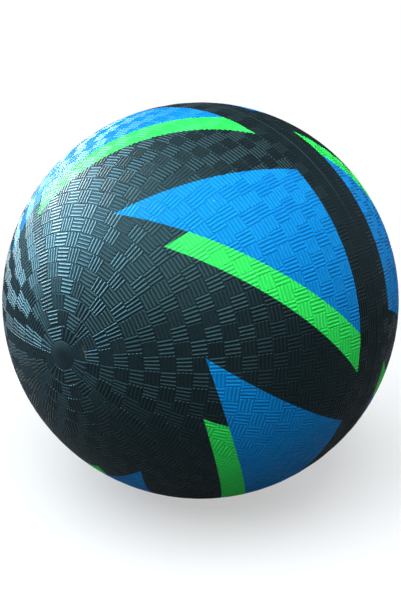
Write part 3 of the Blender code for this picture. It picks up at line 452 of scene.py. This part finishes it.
# %% The blades' planes
BLADES = 5
FRONT_TURN = 12.1
REAR_AXIS_TURN = 61.8
BLADE_POINTS = {
    "tip": (38.3, 0.0), "top_bow": (59.5, 17.3), "top_corner": (BASE_POLAR, 27.8),
    "edge_bow": (56.0, 44.8), "edge_corner": (BASE_POLAR, 74.2),
    "bar_tip": (39.5, 26.2), "bar_shoulder": (45.8, 27.3), "bar_bow": (55.5, 55.2),
    "bar_corner": (BASE_POLAR, 84.8)}
BLADE_MIDDLE = (63.0, 48.0)
BLADE_REACH = math.cos(math.radians(45.0))


def ball_direction(polar, turn):
    """Unit direction at an angle from the front pole, and a turn round it from straight up; in degrees."""
    polar, turn = math.radians(polar), math.radians(turn)
    return Vector((math.sin(polar) * math.sin(turn), -math.cos(polar), math.sin(polar) * math.cos(turn)))


def plane_through(first, second, third, inside):
    """Plane through three points of the ball, as (normal, offset), with inside on its positive side."""
    normal = (second - first).cross(third - first).normalized()
    offset = normal.dot(first)
    return (normal, offset) if normal.dot(inside) > offset else (-normal, -offset)


def blade_planes(number):
    """The planes that bound one blade of the front half and its bar."""
    start = FRONT_TURN + 360.0 / BLADES * number
    at = {name: ball_direction(polar, start + turn) * BALL_RADIUS
          for name, (polar, turn) in BLADE_POINTS.items()}
    return {
        "top": plane_through(at["tip"], at["top_bow"], at["top_corner"], at["edge_corner"]),
        "edge": plane_through(at["tip"], at["edge_bow"], at["edge_corner"], at["top_corner"]),
        "bar": plane_through(at["bar_tip"], at["bar_bow"], at["bar_corner"], at["edge_corner"]),
        "end": plane_through(at["bar_tip"], at["bar_shoulder"], Vector(), at["bar_corner"]),
        "base": (ball_direction(0.0, 0.0), BALL_RADIUS * math.cos(math.radians(BASE_POLAR)))}


print(f"{len(BLADE_POINTS)} points give each blade {len(blade_planes(0))} planes")

# %% Slice a woven half
COVER, BLUE, GREEN = 0, 1, 2
VALVE_AXIS = Vector((-1.0, 0.0, 0.0))
VALVE_LAND = 9.5 * MM
CUT_SIDES = 24
CUT_REACH = 1.6
CUT_TOLERANCE = 0.002 * MM


def slice_faces(bm, faces, plane, clear=False):
    """Slice faces along a plane, and drop what lies on its positive side if asked. Return the faces."""
    normal, offset = plane
    edges = {edge for face in faces for edge in face.edges}
    verts = {vert for face in faces for vert in face.verts}
    cut = bmesh.ops.bisect_plane(bm, geom=[*verts, *edges, *faces], dist=CUT_TOLERANCE,
                                 plane_co=normal * offset, plane_no=normal, clear_outer=clear)
    return [part for part in cut["geom"] if isinstance(part, bmesh.types.BMFace)]


def near(bm, direction, cosine):
    """The faces whose middle lies within an angle of a direction."""
    limit = cosine * BALL_RADIUS
    return [face for face in bm.faces if direction.dot(face.calc_center_median()) > limit]


def cut_round(bm, axis, radius):
    """Drop the faces within a distance of an axis. The cut runs straight in, towards the ball's centre."""
    angle = math.asin(radius / BALL_RADIUS)
    side = axis.orthogonal().normalized()
    turns = [Matrix.Rotation(2.0 * math.pi * number / CUT_SIDES, 3, axis) for number in range(CUT_SIDES)]
    normals = [turn @ side * math.cos(angle) - axis * math.sin(angle) for turn in turns]
    faces = near(bm, axis, math.cos(CUT_REACH * angle))
    for normal in normals:
        faces = slice_faces(bm, faces, (normal, 0.0))
    middles = [(face, face.calc_center_median()) for face in faces]
    inside = [face for face, middle in middles if all(normal.dot(middle) < 0.0 for normal in normals)]
    bmesh.ops.delete(bm, geom=inside, context="FACES")


def sliced_half(weave, valve_way):
    """Slice a woven front half for its blades and valve. Faces keep (blade number, colour) in layers."""
    bm = bmesh.new()
    bm.from_mesh(weave)
    blade_layer = bm.faces.layers.int.new("blade")
    colour_layer = bm.faces.layers.int.new("colour")
    for number in range(BLADES):
        planes = blade_planes(number)
        start = FRONT_TURN + 360.0 / BLADES * number
        middle = ball_direction(BLADE_MIDDLE[0], start + BLADE_MIDDLE[1])
        faces = near(bm, middle, BLADE_REACH)
        for plane in planes.values():
            faces = slice_faces(bm, faces, plane)
        for face in faces:
            spot = face.calc_center_median()
            side = {line: normal.dot(spot) > offset for line, (normal, offset) in planes.items()}
            if side["base"] and side["edge"] and side["top"]:
                face[blade_layer], face[colour_layer] = number + 1, BLUE
            elif side["base"] and side["bar"] and side["end"] and not side["edge"]:
                face[blade_layer], face[colour_layer] = number + 1, GREEN
    cut_round(bm, valve_way, VALVE_LAND)
    return bm


# %% Take the pieces out of a sliced half
MAP_MARGIN = 0.01
NO_LENGTH = 1e-9


def bake_map(mesh, pole):
    """A flat map of a piece as seen along its half's pole, so that the export has it in one island."""
    side = pole.orthogonal().normalized()
    other = pole.cross(side)
    flat = []
    for vert in mesh.vertices:
        away = vert.co.normalized()
        angle = away.angle(pole, 0.0)
        across = Vector((away.dot(side), away.dot(other)))
        flat.append(across.normalized() * angle if across.length > NO_LENGTH else Vector((0.0, 0.0)))
    low = Vector((min(spot.x for spot in flat), min(spot.y for spot in flat)))
    high = Vector((max(spot.x for spot in flat), max(spot.y for spot in flat)))
    scale = (1.0 - 2 * MAP_MARGIN) / max(high.x - low.x, high.y - low.y)
    layer = mesh.uv_layers.new(name="OFBake")
    for loop, target in zip(mesh.loops, layer.uv):
        target.vector = (flat[loop.vertex_index] - low) * scale + Vector((MAP_MARGIN, MAP_MARGIN))


def taken_out(name, bm, blade, colour, material, turn, pole):
    """A piece made of the faces of one blade and colour, turned to its half."""
    piece = bm.copy()
    blade_layer = piece.faces.layers.int["blade"]
    colour_layer = piece.faces.layers.int["colour"]
    others = [face for face in piece.faces if (face[blade_layer], face[colour_layer]) != (blade, colour)]
    bmesh.ops.delete(piece, geom=others, context="FACES")
    piece.transform(turn)
    mesh = bpy.data.meshes.new(name)
    piece.to_mesh(mesh)
    piece.free()
    mesh.materials.clear()
    mesh.materials.append(material)
    bake_map(mesh, pole)
    thing = bpy.data.objects.new(name, mesh)
    bpy.context.scene.collection.objects.link(thing)
    return thing


# %% Weave both halves
def dress(piece, slot, *nodes):
    """A piece of the ball itself: it rides on the ball and stands for CAD nodes. Its slot is not used."""
    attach(piece, "ball")
    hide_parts(*nodes)


rear_axis = ball_direction(90.0, REAR_AXIS_TURN)
HALVES = {
    "front": (FRONT_FIRST_RING, Matrix.Identity(4), Vector((0.0, -1.0, 0.0))),
    "rear": (REAR_FIRST_RING, Matrix.Rotation(math.pi, 4, rear_axis), Vector((0.0, 1.0, 0.0)))}
for half, (first_ring, half_turn, pole) in HALVES.items():
    weave = grown_mesh(f"weave_{half}", weave_plan(f"plan_{half}", first_ring), weave_tree, weave_inputs, {
        "Ring Angle": RING_ANGLE, "Ribs": RIBS_PER_CELL, "Rib Height": RIB_HEIGHT,
        "Floor Radius": FLOOR_RADIUS, "Material": black_rubber})
    sliced = sliced_half(weave, half_turn.to_3x3().transposed() @ VALVE_AXIS)
    cover = taken_out(f"cover_{half}", sliced, 0, COVER, black_rubber, half_turn, pole)
    dress(cover, "black_rubber", "cover_shell")
    for number in range(1, BLADES + 1):
        blade = taken_out(f"blade_{half}_{number}", sliced, number, BLUE, blue_rubber, half_turn, pole)
        dress(blade, "blue_rubber", f"blue_blade_{half}_{number}")
        bar = taken_out(f"bar_{half}_{number}", sliced, number, GREEN, green_rubber, half_turn, pole)
        dress(bar, "green_rubber", f"green_bar_{half}_{number}")
    sliced.free()
    print(f"{half} half: cover has {len(cover.data.polygons)} faces")

# %% [markdown]
# ## Plain rubber: parting line, pole, port and valve
# Four places of the cover have no weave: the bead that the mould's parting line leaves along the equator,
# the button at the front pole, the collar round the light unit's port, and the ring round the valve. All
# are turned shapes, so one function turns a profile about Z and then swings Z to the shape's own axis.

# %% Turn a profile
TURN_WELD = 0.001 * MM
CREASE_ANGLE = math.radians(50.0)


def turned_mesh(profile, sides, axis):
    """Turn a profile of (distance from the axis, height) points about an axis, as a bmesh."""
    bm = bmesh.new()
    verts = [bm.verts.new((radius, 0.0, height)) for radius, height in profile]
    edges = [bm.edges.new(pair) for pair in zip(verts, verts[1:])]
    bmesh.ops.spin(bm, geom=[*verts, *edges], cent=(0.0, 0.0, 0.0), axis=(0.0, 0.0, 1.0),
                   angle=2.0 * math.pi, steps=sides, use_merge=True)
    bmesh.ops.remove_doubles(bm, verts=bm.verts, dist=TURN_WELD)
    bmesh.ops.recalc_face_normals(bm, faces=bm.faces)
    bm.transform(axis.to_track_quat("Z", "Y").to_matrix().to_4x4())
    return bm


def cover_piece(name, bm):
    """A plain piece of the black cover."""
    mesh = bpy.data.meshes.new(name)
    bm.to_mesh(mesh)
    bm.free()
    mesh.shade_smooth()
    mesh.set_sharp_from_angle(angle=CREASE_ANGLE)
    mesh.materials.append(black_rubber)
    piece = bpy.data.objects.new(name, mesh)
    bpy.context.scene.collection.objects.link(piece)
    dress(piece, "black_rubber", "cover_shell")
    print(f"{name}: {len(mesh.polygons)} faces")
    return piece


def on_ball(polar, radius):
    """A profile point at an angle from the axis and a distance from the ball's centre."""
    return radius * math.sin(math.radians(polar)), radius * math.cos(math.radians(polar))


# %% Parting bead, port collar, pole button and valve rim
PORT_AXIS = Vector((0.0, 1.0, 0.0))
BEAD_SIDES = 240
ROUND_SIDES = 96
EDGE_DROP = 0.08 * MM
EDGE_WIDTH = 0.5 * MM
LOW_RADIUS = BALL_RADIUS - 0.18 * MM
VALVE_HOLE = 6.3 * MM
COVER_WALL = 1.4 * MM

edge_angle = math.degrees(EDGE_WIDTH / BALL_RADIUS)
half_bead = [(WEAVE_POLAR, FLOOR_RADIUS), (0.5 * (WEAVE_POLAR + 90.0), LOW_RADIUS),
             (90.0, BALL_RADIUS - EDGE_DROP)]
other_half = [(180.0 - polar, radius) for polar, radius in half_bead[1::-1]]
bead = turned_mesh([on_ball(*point) for point in [*half_bead, *other_half]], BEAD_SIDES, PORT_AXIS)
cut_round(bead, VALVE_AXIS, VALVE_LAND)
cover_piece("parting_bead", bead)

port_edge = math.degrees(math.acos(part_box("cover_shell")[1][1] / BALL_RADIUS))
weave_edge = REAR_FIRST_RING * RING_ANGLE
collar = [(weave_edge, FLOOR_RADIUS), (weave_edge - edge_angle, BALL_RADIUS - EDGE_DROP),
          (weave_edge - 2 * edge_angle, BALL_RADIUS), (port_edge + edge_angle, BALL_RADIUS),
          (port_edge, BALL_RADIUS - 2 * EDGE_DROP), (port_edge, BALL_RADIUS - COVER_WALL)]
cover_piece("port_collar", turned_mesh([on_ball(*point) for point in collar], ROUND_SIDES, PORT_AXIS))

button = [(RING_ANGLE, FLOOR_RADIUS), (RING_ANGLE - 0.5 * edge_angle, LOW_RADIUS - EDGE_DROP),
          (RING_ANGLE - edge_angle, LOW_RADIUS), (0.0, BALL_RADIUS)]
cover_piece("pole_button", turned_mesh([on_ball(*point) for point in button], ROUND_SIDES, -PORT_AXIS))

land_angle = math.degrees(math.asin(VALVE_LAND / BALL_RADIUS))
hole_angle = math.degrees(math.asin(VALVE_HOLE / BALL_RADIUS))
rim = [(land_angle, FLOOR_RADIUS), (land_angle - 0.5 * edge_angle, LOW_RADIUS),
       (land_angle - edge_angle, BALL_RADIUS - EDGE_DROP), (hole_angle + 2 * edge_angle, BALL_RADIUS),
       (hole_angle + edge_angle, BALL_RADIUS - EDGE_DROP), (hole_angle, BALL_RADIUS - 3 * EDGE_DROP),
       (hole_angle, BALL_RADIUS - COVER_WALL)]
cover_piece("valve_rim", turned_mesh([on_ball(*point) for point in rim], ROUND_SIDES, VALVE_AXIS))

# %% [markdown]
# ## The other pieces
# The valve, the pocket, the plug and the light unit have their shapes from CAD, and each gets the finish of
# its real material. Most finishes are alike in kind: two close colours, a gloss that varies, and a fine
# grain. One function makes those, and the wound thread, the circuit board and the drawn wire add a pattern
# of their own.

# %% Plain finishes
GLOSS_SPREAD = 0.2
BUMP_STRENGTH = 0.4


def grained(name, colour, other, grain, roughness, lift, values):
    """A finish of two close colours. Its grain and lift are in mm; values go to the shader as they are."""
    material, tree, shader = new_material(name)
    spot = add_node(tree, "ShaderNodeTexCoord").outputs["Object"]
    noise = add_node(tree, "ShaderNodeTexNoise", None, {
        "Vector": spot, "Scale": repeats(grain), "Detail": 5.0, "Roughness": 0.65})
    mixed = add_node(tree, "ShaderNodeMix", {"data_type": "RGBA"}, {
        0: noise.outputs[0], 6: linear(colour), 7: linear(other)})
    gloss = add_node(tree, MAP, None, {
        "Value": noise.outputs[0], "To Min": (1.0 - GLOSS_SPREAD) * roughness,
        "To Max": (1.0 + GLOSS_SPREAD) * roughness})
    bump = add_node(tree, "ShaderNodeBump", None, {
        "Height": noise.outputs[0], "Strength": BUMP_STRENGTH, "Distance": lift * MM})
    tree.links.new(mixed.outputs[2], shader.inputs["Base Color"])
    tree.links.new(gloss.outputs[0], shader.inputs["Roughness"])
    tree.links.new(bump.outputs[0], shader.inputs["Normal"])
    for socket, value in values.items():
        shader.inputs[socket].default_value = value
    return material


METAL = {"Metallic": 1.0}
DULL = {"Specular IOR Level": 0.2}
finishes = {}
# Matt black rubber with a dusty grain, so that the valve reads as a separate soft piece in the cover
finishes["valve_rubber"] = grained("Valve_rubber", "1A1B1C", "2B2D2E", 0.8, 0.60, 0.03, DULL)
# Softer grey rubber that shows the needle's seat as a paler dot
finishes["soft_rubber"] = grained("Soft_grey_rubber", "56524E", "6A655F", 0.6, 0.65, 0.03, DULL)
# Milky clear rubber: light goes through it, but shapes behind it blur
finishes["clear_rubber"] = grained("Clear_rubber", "EDF2F0", "DDE6E3", 3.0, 0.30, 0.02, {
    "Transmission Weight": 0.8, "IOR": 1.45})
# Black rubber with a fine, even texture, a little duller than the cover
finishes["plug_rubber"] = grained("Plug_rubber", "141618", "212426", 0.5, 0.52, 0.04, DULL)
# Black plastic with the fine sparkle of an eroded mould
finishes["black_plastic"] = grained("Black_ABS_plastic", "121314", "1C1E20", 0.25, 0.42, 0.02, {})
# Brick red silicone, satin and smooth
finishes["seal_rubber"] = grained("Red_silicone", "8E2A20", "A63A2C", 1.2, 0.38, 0.01, {})
# Clear plastic with a few soft flow marks in its gloss
finishes["clear_polycarbonate"] = grained("Clear_polycarbonate", "F4FAFC", "EAF3F6", 6.0, 0.05, 0.005, {
    "Transmission Weight": 1.0, "IOR": 1.58})
# Mid-grey plastic with a fine matt grain
finishes["grey_plastic"] = grained("Grey_ABS_plastic", "868A8D", "989C9F", 0.3, 0.48, 0.02, {})
# Bright nickel-plated steel with light handling marks
finishes["cell_steel"] = grained("Nickel_plated_steel", "D8D7D2", "BEBDB6", 1.5, 0.24, 0.004, METAL)
# Warmer, softer nickel of stamped contacts
finishes["contact_nickel"] = grained("Stamped_nickel", "CFC8B4", "B5AD98", 0.8, 0.32, 0.006, METAL)
# Grey zinc-plated screws
finishes["screw_steel"] = grained("Zinc_plated_steel", "B4B6B8", "94979A", 0.4, 0.36, 0.006, METAL)
# Water-clear resin: it gathers light in the dome
finishes["led_epoxy"] = grained("Clear_epoxy", "F2F7FA", "E4EDF2", 1.0, 0.08, 0.002, {
    "Transmission Weight": 0.9, "IOR": 1.53})
# Black moulding compound, dull and finely speckled
finishes["chip_epoxy"] = grained("Black_moulding_compound", "17181A", "26282B", 0.15, 0.58, 0.01, DULL)
# Yellow turned brass
finishes["brass"] = grained("Turned_brass", "D9B45F", "C09A48", 0.3, 0.28, 0.004, METAL)
# Amber latex, cloudy and slightly see-through
finishes["latex_rubber"] = grained("Latex_rubber", "D6AE78", "C4975E", 5.0, 0.50, 0.03, {
    "Transmission Weight": 0.3, "IOR": 1.52})
print(len(finishes), "plain finishes")

# %% Wound thread
# Sizes in millimetres. A band of Blender's wave texture takes about 0.3 of a unit.
THREAD_WIDTH, THREAD_LIFT = 0.7, 0.2
BAND_UNITS = 0.3

# Wound nylon thread: pale strands side by side, with painted shade in the gaps between them, and a soft
# sheen
thread, tree, shader = new_material("Wound_nylon_thread")
spot = add_node(tree, "ShaderNodeTexCoord").outputs["Object"]
strands = add_node(tree, "ShaderNodeTexWave", {"bands_direction": "DIAGONAL"}, {
    "Vector": spot, "Scale": BAND_UNITS * repeats(THREAD_WIDTH), "Distortion": 2.0, "Detail": 2.0})
# Painted shade: the low bands between strands are darker
strands_with_painted_gap_shade = add_node(tree, "ShaderNodeMix", {"data_type": "RGBA"}, {
    0: strands.outputs["Fac"], 6: linear("8E8670"), 7: linear("D8D1BE")})
strand_bump = add_node(tree, "ShaderNodeBump", None, {
    "Height": strands.outputs["Fac"], "Strength": 0.6, "Distance": THREAD_LIFT * MM})
tree.links.new(strands_with_painted_gap_shade.outputs[2], shader.inputs["Base Color"])
tree.links.new(strand_bump.outputs[0], shader.inputs["Normal"])
shader.inputs["Roughness"].default_value = 0.75
finishes["nylon_thread"] = thread
print("thread:", thread.name)

# %% Circuit board
TRACE_SPACING, TRACE_LIFT = 2.4, 0.04
TRACE_EDGE, TRACE_END = 0.06, 0.10

# Circuit board: green lacquer over fibreglass, with paler copper tracks under it
board, tree, shader = new_material("Lacquered_fibreglass")
spot = add_node(tree, "ShaderNodeTexCoord").outputs["Object"]
tracks = add_node(tree, "ShaderNodeTexVoronoi", {"feature": "DISTANCE_TO_EDGE"}, {
    "Vector": spot, "Scale": repeats(TRACE_SPACING), "Randomness": 0.55})
on_track = add_node(tree, MAP, None, {
    "Value": tracks.outputs["Distance"], "From Min": TRACE_EDGE, "From Max": TRACE_END,
    "To Min": 1.0, "To Max": 0.0})
lacquer = add_node(tree, "ShaderNodeMix", {"data_type": "RGBA"}, {
    0: on_track.outputs[0], 6: linear("0E5A2C"), 7: linear("2C8A4A")})
track_bump = add_node(tree, "ShaderNodeBump", None, {
    "Height": on_track.outputs[0], "Strength": 0.5, "Distance": TRACE_LIFT * MM})
tree.links.new(lacquer.outputs[2], shader.inputs["Base Color"])
tree.links.new(track_bump.outputs[0], shader.inputs["Normal"])
shader.inputs["Roughness"].default_value = 0.32
finishes["circuit_board"] = board
print("board:", board.name)

# %% Spring wire
DRAW_LINES = 0.12

# Spring wire: bright steel with fine lines from drawing
wire, tree, shader = new_material("Drawn_spring_steel")
spot = add_node(tree, "ShaderNodeTexCoord").outputs["Object"]
lines = add_node(tree, "ShaderNodeTexNoise", None, {
    "Vector": spot, "Scale": repeats(DRAW_LINES), "Detail": 2.0})
line_gloss = add_node(tree, MAP, None, {"Value": lines.outputs[0], "To Min": 0.18, "To Max": 0.42})
line_colour = add_node(tree, "ShaderNodeMix", {"data_type": "RGBA"}, {
    0: lines.outputs[0], 6: linear("9DA0A4"), 7: linear("D0D3D6")})
tree.links.new(line_colour.outputs[2], shader.inputs["Base Color"])
tree.links.new(line_gloss.outputs[0], shader.inputs["Roughness"])
shader.inputs["Metallic"].default_value = 1.0
finishes["spring_steel"] = wire
print(len(finishes), "finishes in all")

# %% [markdown]
# ## Finished edges
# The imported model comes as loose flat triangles, which look like cut glass up close. So each piece is
# welded, its flat triangles are joined in pairs, and its outer edges get a narrow bevel, as moulding and
# stamping leave them. Layers, rings and wire have none. What is still sharp then stays crisp, and all else
# is shaded round.

# %% Finish the CAD pieces
WELD_DISTANCE = 0.002 * MM
FLAT_ANGLE = math.radians(0.5)
SHARP_ANGLE = math.radians(35.0)
BEVEL_SEGMENTS = 2
UNBEVELLED = ("carcass_layer", "air_bladder", "seal_ring", "switch_spring")
FINE_BEVEL = 0.06
BEVELS = {"port_plug": 0.3, "valve_housing": 0.3, "valve_core": 0.15, "light_pocket": 0.25, "unit_cap": 0.3,
          "light_lens": 0.2, "cell_tray": 0.2, "button_cell_1": 0.2, "button_cell_2": 0.2,
          "button_cell_3": 0.2}


def finished_piece(name, body, slot):
    """A welded and bevelled piece in the shape of a CAD node, with the finish of its slot."""
    node = frame["nodes"][name]
    bm = bmesh.new()
    bm.from_mesh(node.data)
    bm.transform(node.matrix_world)
    bmesh.ops.remove_doubles(bm, verts=bm.verts, dist=WELD_DISTANCE)
    if name not in UNBEVELLED:
        bmesh.ops.join_triangles(bm, faces=bm.faces, angle_face_threshold=FLAT_ANGLE,
                                 angle_shape_threshold=math.pi)
        outer = [edge for edge in bm.edges if edge.is_convex and edge.calc_face_angle(0.0) > SHARP_ANGLE]
        bmesh.ops.bevel(bm, geom=outer, offset=BEVELS.get(name, FINE_BEVEL) * MM, segments=BEVEL_SEGMENTS,
                        profile=0.5, affect="EDGES", clamp_overlap=True)
    mesh = bpy.data.meshes.new(f"finished_{name}")
    bm.to_mesh(mesh)
    bm.free()
    stale_normals = mesh.attributes.get("custom_normal")
    if stale_normals:
        mesh.attributes.remove(stale_normals)
    mesh.shade_smooth()
    mesh.set_sharp_from_angle(angle=SHARP_ANGLE)
    mesh.materials.append(finishes[slot])
    piece = bpy.data.objects.new(f"finished_{name}", mesh)
    bpy.context.scene.collection.objects.link(piece)
    piece.modifiers.new("even_faces", "WEIGHTED_NORMAL").keep_sharp = True
    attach(piece, body)
    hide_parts(name)
    return piece


node_slots = {row["node"]: row["material_slot"] for row in frame["record"]["subparts"]}
for body, nodes in frame["record"]["behaviour"]["bodies"].items():
    named = [name for name in nodes if node_slots[name] in finishes]
    pieces = [finished_piece(name, body, node_slots[name]) for name in named]
    print(f"{body}: {sum(len(piece.data.polygons) for piece in pieces)} faces in {len(pieces)} pieces")

# %% [markdown]
# ## Floor and light
# A cut-out photograph has a white background. The floor is a pale sheet that keeps the ball's shadow. The
# world is white to the eye and to glass, and to gloss where it lies behind the ball in the picture. To the
# sides it stays dim, as the room beyond a photographer's white sheet is, and it lights the ball weakly, so
# that the lamps shape it.

# %% Floor
SHEET_RADIUS = 900 * MM
FLOOR_SIDES = 96
floor_mesh = bpy.data.meshes.new("floor")
floor_turns = [2.0 * math.pi * side / FLOOR_SIDES for side in range(FLOOR_SIDES)]
floor_rim = [(SHEET_RADIUS * math.cos(turn), SHEET_RADIUS * math.sin(turn), cad_low[2])
             for turn in floor_turns]
floor_mesh.from_pydata(floor_rim, [], [tuple(range(FLOOR_SIDES))])
floor = bpy.data.objects.new("floor", floor_mesh)
bpy.context.scene.collection.objects.link(floor)
print(f"floor: a sheet {2 * SHEET_RADIUS / MM:.0f} mm across")

# %% The floor's paper
# Matt white paper: pale to the eye, to gloss and to glass, dimmer in the light that it throws back at the
# ball, with a soft shadow, and fading into the white room before its edge.
PAPER_SEEN, PAPER_BOUNCE = "F6F6F6", "5E5E5E"
FLOOR_IN_GLOSS = 0.25
SHADOW_LIFT = 0.5
FADE_FROM, FADE_TO = 250 * MM, 650 * MM
paper, tree, shader = new_material("Matt_white_paper")
path = add_node(tree, "ShaderNodeLightPath").outputs
gloss = add_node(tree, MATH, {"operation": "MULTIPLY"}, {0: path["Is Glossy Ray"], 1: FLOOR_IN_GLOSS})
eye = add_node(tree, MATH, {"operation": "MAXIMUM"}, {
    0: path["Is Camera Ray"], 1: path["Is Transmission Ray"]})
seen = add_node(tree, MATH, {"operation": "MAXIMUM"}, {0: eye.outputs[0], 1: gloss.outputs[0]})
sheet = add_node(tree, "ShaderNodeMix", {"data_type": "RGBA"}, {
    0: seen.outputs[0], 6: linear(PAPER_BOUNCE), 7: linear(PAPER_SEEN)})
tree.links.new(sheet.outputs[2], shader.inputs["Base Color"])
shader.inputs["Roughness"].default_value = 0.9
shader.inputs["Specular IOR Level"].default_value = 0.1
white = add_node(tree, "ShaderNodeEmission", None, {"Color": linear("FFFFFF"), "Strength": 1.0})
lift = add_node(tree, MATH, {"operation": "MULTIPLY"}, {0: eye.outputs[0], 1: SHADOW_LIFT})
lifted = add_node(tree, "ShaderNodeMixShader", None, {
    0: lift.outputs[0], 1: shader.outputs[0], 2: white.outputs[0]})
middle = add_node(tree, "ShaderNodeVectorMath", {"operation": "LENGTH"}, {
    0: add_node(tree, "ShaderNodeTexCoord").outputs["Object"]})
fade = add_node(tree, MAP, {"interpolation_type": "SMOOTHSTEP"}, {
    "Value": middle.outputs["Value"], "From Min": FADE_FROM, "From Max": FADE_TO})
room = add_node(tree, "ShaderNodeBsdfTransparent")
faded = add_node(tree, "ShaderNodeMixShader", None, {
    0: fade.outputs[0], 1: lifted.outputs[0], 2: room.outputs[0]})
tree.links.new(faded.outputs[0], tree.nodes["Material Output"].inputs["Surface"])
floor_mesh.materials.append(paper)
print("floor:", paper.name, "in", len(tree.nodes), "nodes")

# %% World
AMBIENT_LEVEL = 0.066
DIM_SIDE_LEVEL = 0.06
CONE_EDGE, CONE_CORE = 0.95, 0.995
world = bpy.data.worlds.new("white_room")
world.use_nodes = True
bpy.context.scene.world = world
tree = world.node_tree
path = add_node(tree, "ShaderNodeLightPath").outputs
view_way = camera.matrix_world.to_3x3() @ Vector((0.0, 0.0, -1.0))
along_view = add_node(tree, "ShaderNodeVectorMath", {"operation": "DOT_PRODUCT"}, {
    0: add_node(tree, "ShaderNodeTexCoord").outputs["Generated"], 1: view_way})
in_gloss = add_node(tree, MAP, {"interpolation_type": "SMOOTHSTEP"}, {
    "Value": along_view.outputs["Value"], "From Min": CONE_EDGE, "From Max": CONE_CORE,
    "To Min": DIM_SIDE_LEVEL, "To Max": 1.0})
seen = add_node(tree, MATH, {"operation": "MAXIMUM"}, {
    0: path["Is Camera Ray"], 1: path["Is Transmission Ray"]})
plain = add_node(tree, MAP, None, {
    "Value": seen.outputs[0], "To Min": AMBIENT_LEVEL, "To Max": 1.0})
strength = add_node(tree, "ShaderNodeMix", None, {
    0: path["Is Glossy Ray"], 2: plain.outputs[0], 3: in_gloss.outputs[0]})
background = tree.nodes["Background"]
background.inputs["Color"].default_value = linear("FFFFFF")
tree.links.new(strength.outputs[0], background.inputs["Strength"])
print(f"world: {AMBIENT_LEVEL} as light, {DIM_SIDE_LEVEL} in gloss at the sides")

# %% [markdown]
# ## Lamps
# The photograph was taken under open sky, which glares on the ball's upper left and leaves the right and the
# underside in shade. A sky picture could light the ball, but square lamps can be placed one by one. A broad
# key lamp gives the colours their level. The panels shine in the gloss alone, so that they draw the sheen on
# the ribs and the glare without bleaching the colours. The fill behind is for the views from there.

# %% Lamps
def soft_lamp(name, toward, distance, size, power, colour, matt=True, gloss=True):
    """A square lamp, with sizes in metres and power in watts. Its place is as the camera sees the ball:
    to its right, above it, and towards the camera."""
    data = bpy.data.lights.new(name, "AREA")
    data.shape = "SQUARE"
    data.size = size
    data.energy = power
    data.color = linear(colour)[:3]
    lamp = bpy.data.objects.new(name, data)
    lamp.visible_diffuse = matt
    lamp.visible_glossy = gloss
    bpy.context.scene.collection.objects.link(lamp)
    away = (camera.matrix_world.to_3x3() @ Vector(toward)).normalized()
    aim = away.to_track_quat("Z", "Y").to_matrix().to_4x4()
    lamp.matrix_world = Matrix.Translation(away * distance) @ aim
    return lamp


lamps = [
    # Broad, from above and in front
    soft_lamp("key_lamp", (-0.17, 0.73, 0.66), 1.2, 1.4, 31.5, "F4FAFF"),
    # The bright sky on the left
    soft_lamp("sky_panel", (-0.86, 0.46, 0.10), 1.0, 0.6, 78.0, "BCE8FF", matt=False),
    # Its brightest patch, near the upper left edge
    soft_lamp("glare_lamp", (-0.68, 0.58, -0.42), 1.0, 0.35, 20.0, "F4FFFF", matt=False),
    # The open front: a faint sheen on every rib that faces the camera
    soft_lamp("front_panel", (-0.15, 0.50, 0.85), 1.2, 1.4, 60.0, "E8FCFF", matt=False),
    # The far right, weak, so that the shaded edge isn't lost
    soft_lamp("side_panel", (0.92, 0.36, -0.16), 1.0, 0.9, 2.2, "D8F0FF", matt=False),
    # From behind, without gloss, so that the edges in the main view stay dark
    soft_lamp("rear_fill", (0.15, 0.25, -0.95), 1.2, 1.4, 14.0, "F4FAFF", gloss=False)]
bpy.context.scene.view_settings.view_transform = "Standard"
print("lamps:", *(lamp.name for lamp in lamps))
